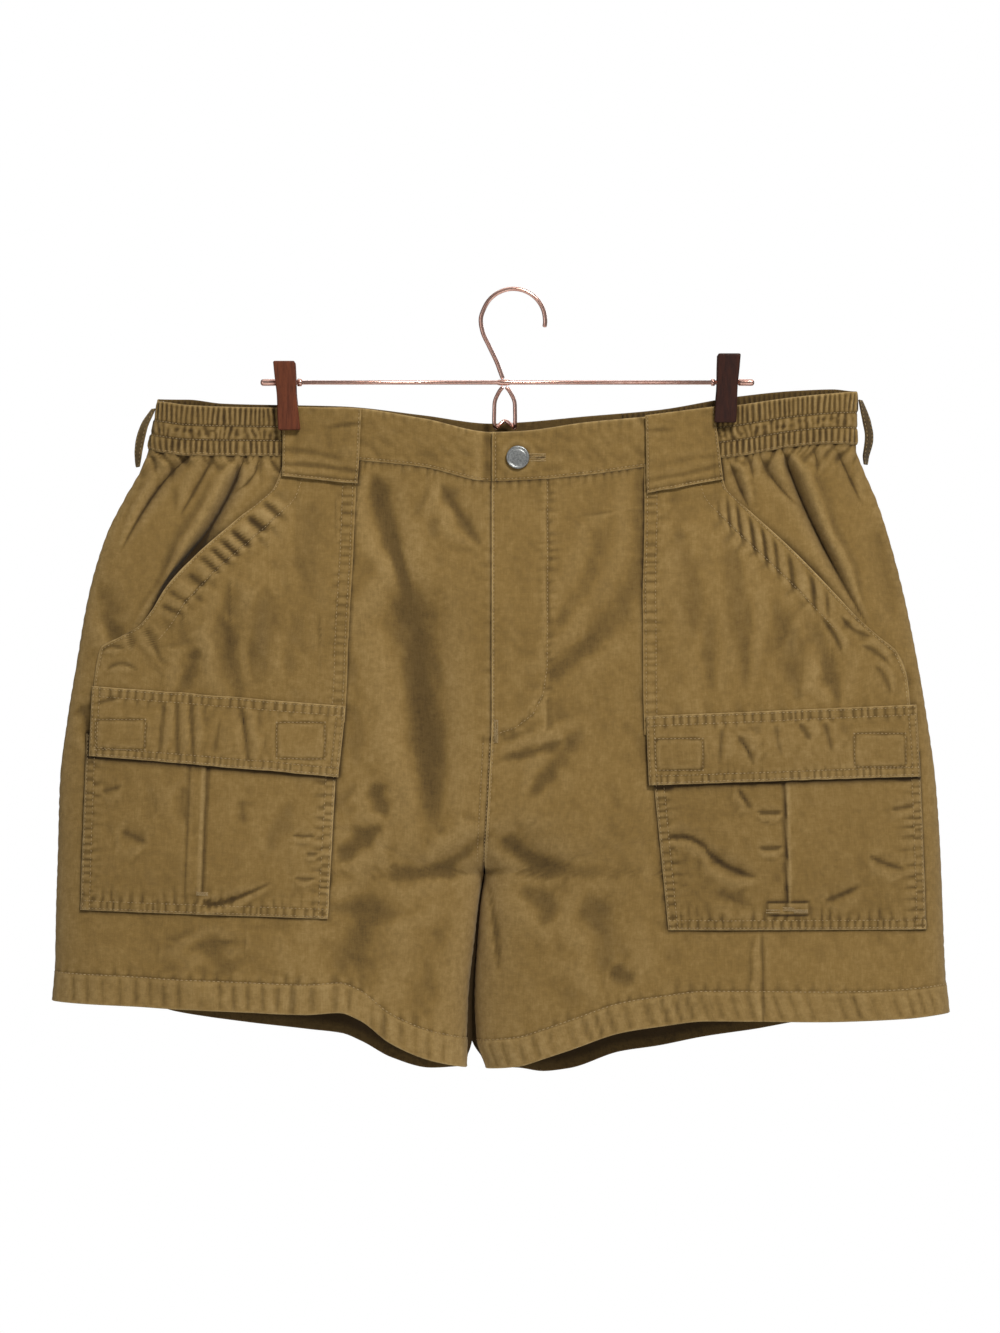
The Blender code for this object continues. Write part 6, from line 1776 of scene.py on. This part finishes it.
def clip_plate(name, half, y_foot, out, replaced):
    """One wooden clip plate: waisted, its edges rounded over, leaning away from the cloth at the top."""
    top_x, foot_x, top_z, wide_top, wide_waist, wide_foot, look, slot_name = CLIPS[half]
    waist = column_curve(((0.0, wide_top), (0.22, (wide_top * 2 + wide_waist) / 3), (0.48, wide_waist),
                          (0.78, (wide_foot * 2 + wide_waist) / 3), (1.0, wide_foot)), 0, 1)
    rings = []
    corner, steps = 1.3, 5
    ends = [corner * (1 - math.cos(math.pi / 2 * k / 4)) for k in range(5)]
    rim = [e / CLIP_TALL for e in ends]
    heights = rim + list(np.linspace(0.06, 0.94, 22)) + [1 - share for share in reversed(rim)]
    for share in heights:
        near_end = min(share, 1 - share) * CLIP_TALL
        tuck = corner - math.sqrt(max(corner**2 - max(corner - near_end, 0) ** 2, 0))
        x = top_x + (foot_x - top_x) * share
        z = top_z - CLIP_TALL * share
        near = y_foot + out * CLIP_LEAN * (1 - share)
        half_w = float(waist(share)) / 2 - tuck
        thick = CLIP_THICK - 0.55 * tuck
        ring = []
        for cx, cy in ((-1, 0), (1, 0), (1, 1), (-1, 1)):
            r = 0.35 if cy == 0 else 1.1
            for k in range(steps):
                a = math.pi / 2 * k / (steps - 1)
                start = {(-1, 0): math.pi, (1, 0): 1.5 * math.pi, (1, 1): 0.0,
                         (-1, 1): math.pi / 2}[(cx, cy)]
                px = cx * (half_w - r) + r * math.cos(start + a)
                py = (r if cy == 0 else thick - r) + r * math.sin(start + a)
                ring.append((x + px, near + out * py, z))
        rings.append(ring)
    ring_piece(name, rings, look, replaced)


def clip_spring(name, half, y_front, y_back, replaced):
    """The clip's bent metal: two legs inside the plates joined by a rounded bridge over the bar."""
    top_x, foot_x, top_z = CLIPS[half][:3]
    x_mid = top_x + (foot_x - top_x) * 0.3
    wide, thick = 14.0, 1.1
    crown = BAR_HEIGHT + 6.6
    line = [(y_front, SPRING_FOOT), (y_front - 0.9, BAR_HEIGHT + 5.0)]
    middle, reach = (y_front + y_back) / 2, (y_back - y_front) / 2 + 0.9
    for k in range(9):
        a = math.pi * (1 - k / 8)
        rise = math.sin(a) ** 0.7 if 0 < k < 8 else 0.0
        line.append((middle + reach * math.cos(a), crown + rise))
    line += [(y_back + 0.9, BAR_HEIGHT + 5.0), (y_back, SPRING_FOOT)]
    line = np.array(line)
    tangent = np.gradient(line, axis=0)
    tangent /= np.linalg.norm(tangent, axis=1, keepdims=True)
    normal = np.stack([-tangent[:, 1], tangent[:, 0]], 1)
    strip = ((-1, -0.4), (-0.96, -0.5), (0.96, -0.5), (1, -0.4), (1, 0.4), (0.96, 0.5), (-0.96, 0.5),
             (-1, 0.4))
    rings = [[(x_mid + sx * wide / 2, y + ny * thick * sn, z + nz * thick * sn) for sx, sn in strip]
             for (y, z), (ny, nz) in zip(line, normal)]
    ring_piece(name, rings, COPPER, replaced, smooth=False)


for half in (LEFT, RIGHT):
    word = SIDE[half]
    clip_plate("wood_clip_face_" + word, half, FRONT_FOOT, -1, "clip_face_" + word)
    clip_plate("wood_clip_back_" + word, half, BACK_FOOT, 1, "clip_back_" + word)
    clip_spring("copper_clip_" + word, half, FRONT_FOOT + 0.6, BACK_FOOT - 0.6, "clip_spring_" + word)


# ---------------- camera, light and floor
def aim(thing, target):
    direction = Vector(target) - thing.location
    thing.rotation_euler = direction.to_track_quat("-Z", "Y").to_euler()


def soft_light(name, place, target, size, watts, colour=(1.0, 1.0, 1.0)):
    data = bpy.data.lights.new(name, "AREA")
    data.shape = "RECTANGLE"
    data.size, data.size_y = size
    data.energy = watts
    data.color = colour
    light = add_object(name, data)
    light.location = place
    aim(light, target)


VIEW_X, VIEW_Z, VIEW_DISTANCE = -0.0104, -0.3004, 4.4433
camera_data = bpy.data.cameras.new("camera")
camera_data.lens = 150.0
camera_data.sensor_width = 36.0
camera_data.clip_end = 60.0
camera = add_object("camera", camera_data)
camera.location = (VIEW_X, -VIEW_DISTANCE, VIEW_Z)
camera.rotation_euler = (math.pi / 2, 0.0, 0.0)
bpy.context.scene.camera = camera

soft_light("key", (1.35, -3.0, 2.75), (0.0, 0.0, -0.36), (1.1, 0.95), 172.0, (1.0, 0.985, 0.955))
soft_light("fill", (-2.2, -3.0, 0.1), (0.0, 0.0, -0.35), (1.8, 1.8), 12.0, (0.97, 0.985, 1.0))
soft_light("top", (-0.3, 0.3, 2.0), (0.0, 0.0, -0.3), (2.0, 1.6), 10.0)
soft_light("back", (0.6, 2.8, 0.9), (0.0, 0.0, -0.33), (1.8, 1.4), 30.0)

world = bpy.data.worlds.new("studio")
bpy.context.scene.world = world
world.use_nodes = True
sky = world.node_tree
sky.nodes.clear()
path = sky.nodes.new("ShaderNodeLightPath")
seen, lit = sky.nodes.new("ShaderNodeBackground"), sky.nodes.new("ShaderNodeBackground")
set_inputs(seen, {"Color": (1.0, 1.0, 1.0, 1.0)})
set_inputs(lit, {"Color": (1.0, 1.0, 1.0, 1.0), "Strength": 0.20})
mixed, target = sky.nodes.new("ShaderNodeMixShader"), sky.nodes.new("ShaderNodeOutputWorld")
sky.links.new(path.outputs["Is Camera Ray"], mixed.inputs["Fac"])
sky.links.new(lit.outputs[0], mixed.inputs[1])
sky.links.new(seen.outputs[0], mixed.inputs[2])
sky.links.new(mixed.outputs[0], target.inputs["Surface"])

FLOOR_HEIGHT, FLOOR_RADIUS = -1.30, 3.4
floor_work = bmesh.new()
bmesh.ops.create_circle(floor_work, cap_ends=True, segments=96, radius=FLOOR_RADIUS)
floor_mesh = bpy.data.meshes.new("pale_floor")
floor_work.to_mesh(floor_mesh)
floor_work.free()
floor = add_object("pale_floor", floor_mesh)
floor.location = (0.0, 0.0, FLOOR_HEIGHT)
floor_paint, _, floor_shader = plain_material("pale_floor", 0.9, specular=0.1)
floor_shader.inputs["Base Color"].default_value = (0.86, 0.86, 0.86, 1.0)
floor_mesh.materials.append(floor_paint)

bpy.context.scene.view_settings.view_transform = "Standard"
bpy.context.scene.view_settings.look = "None"

bpy.context.view_layer.update()


def corners(box):
    return [[float(c) for c in corner] for corner in box]
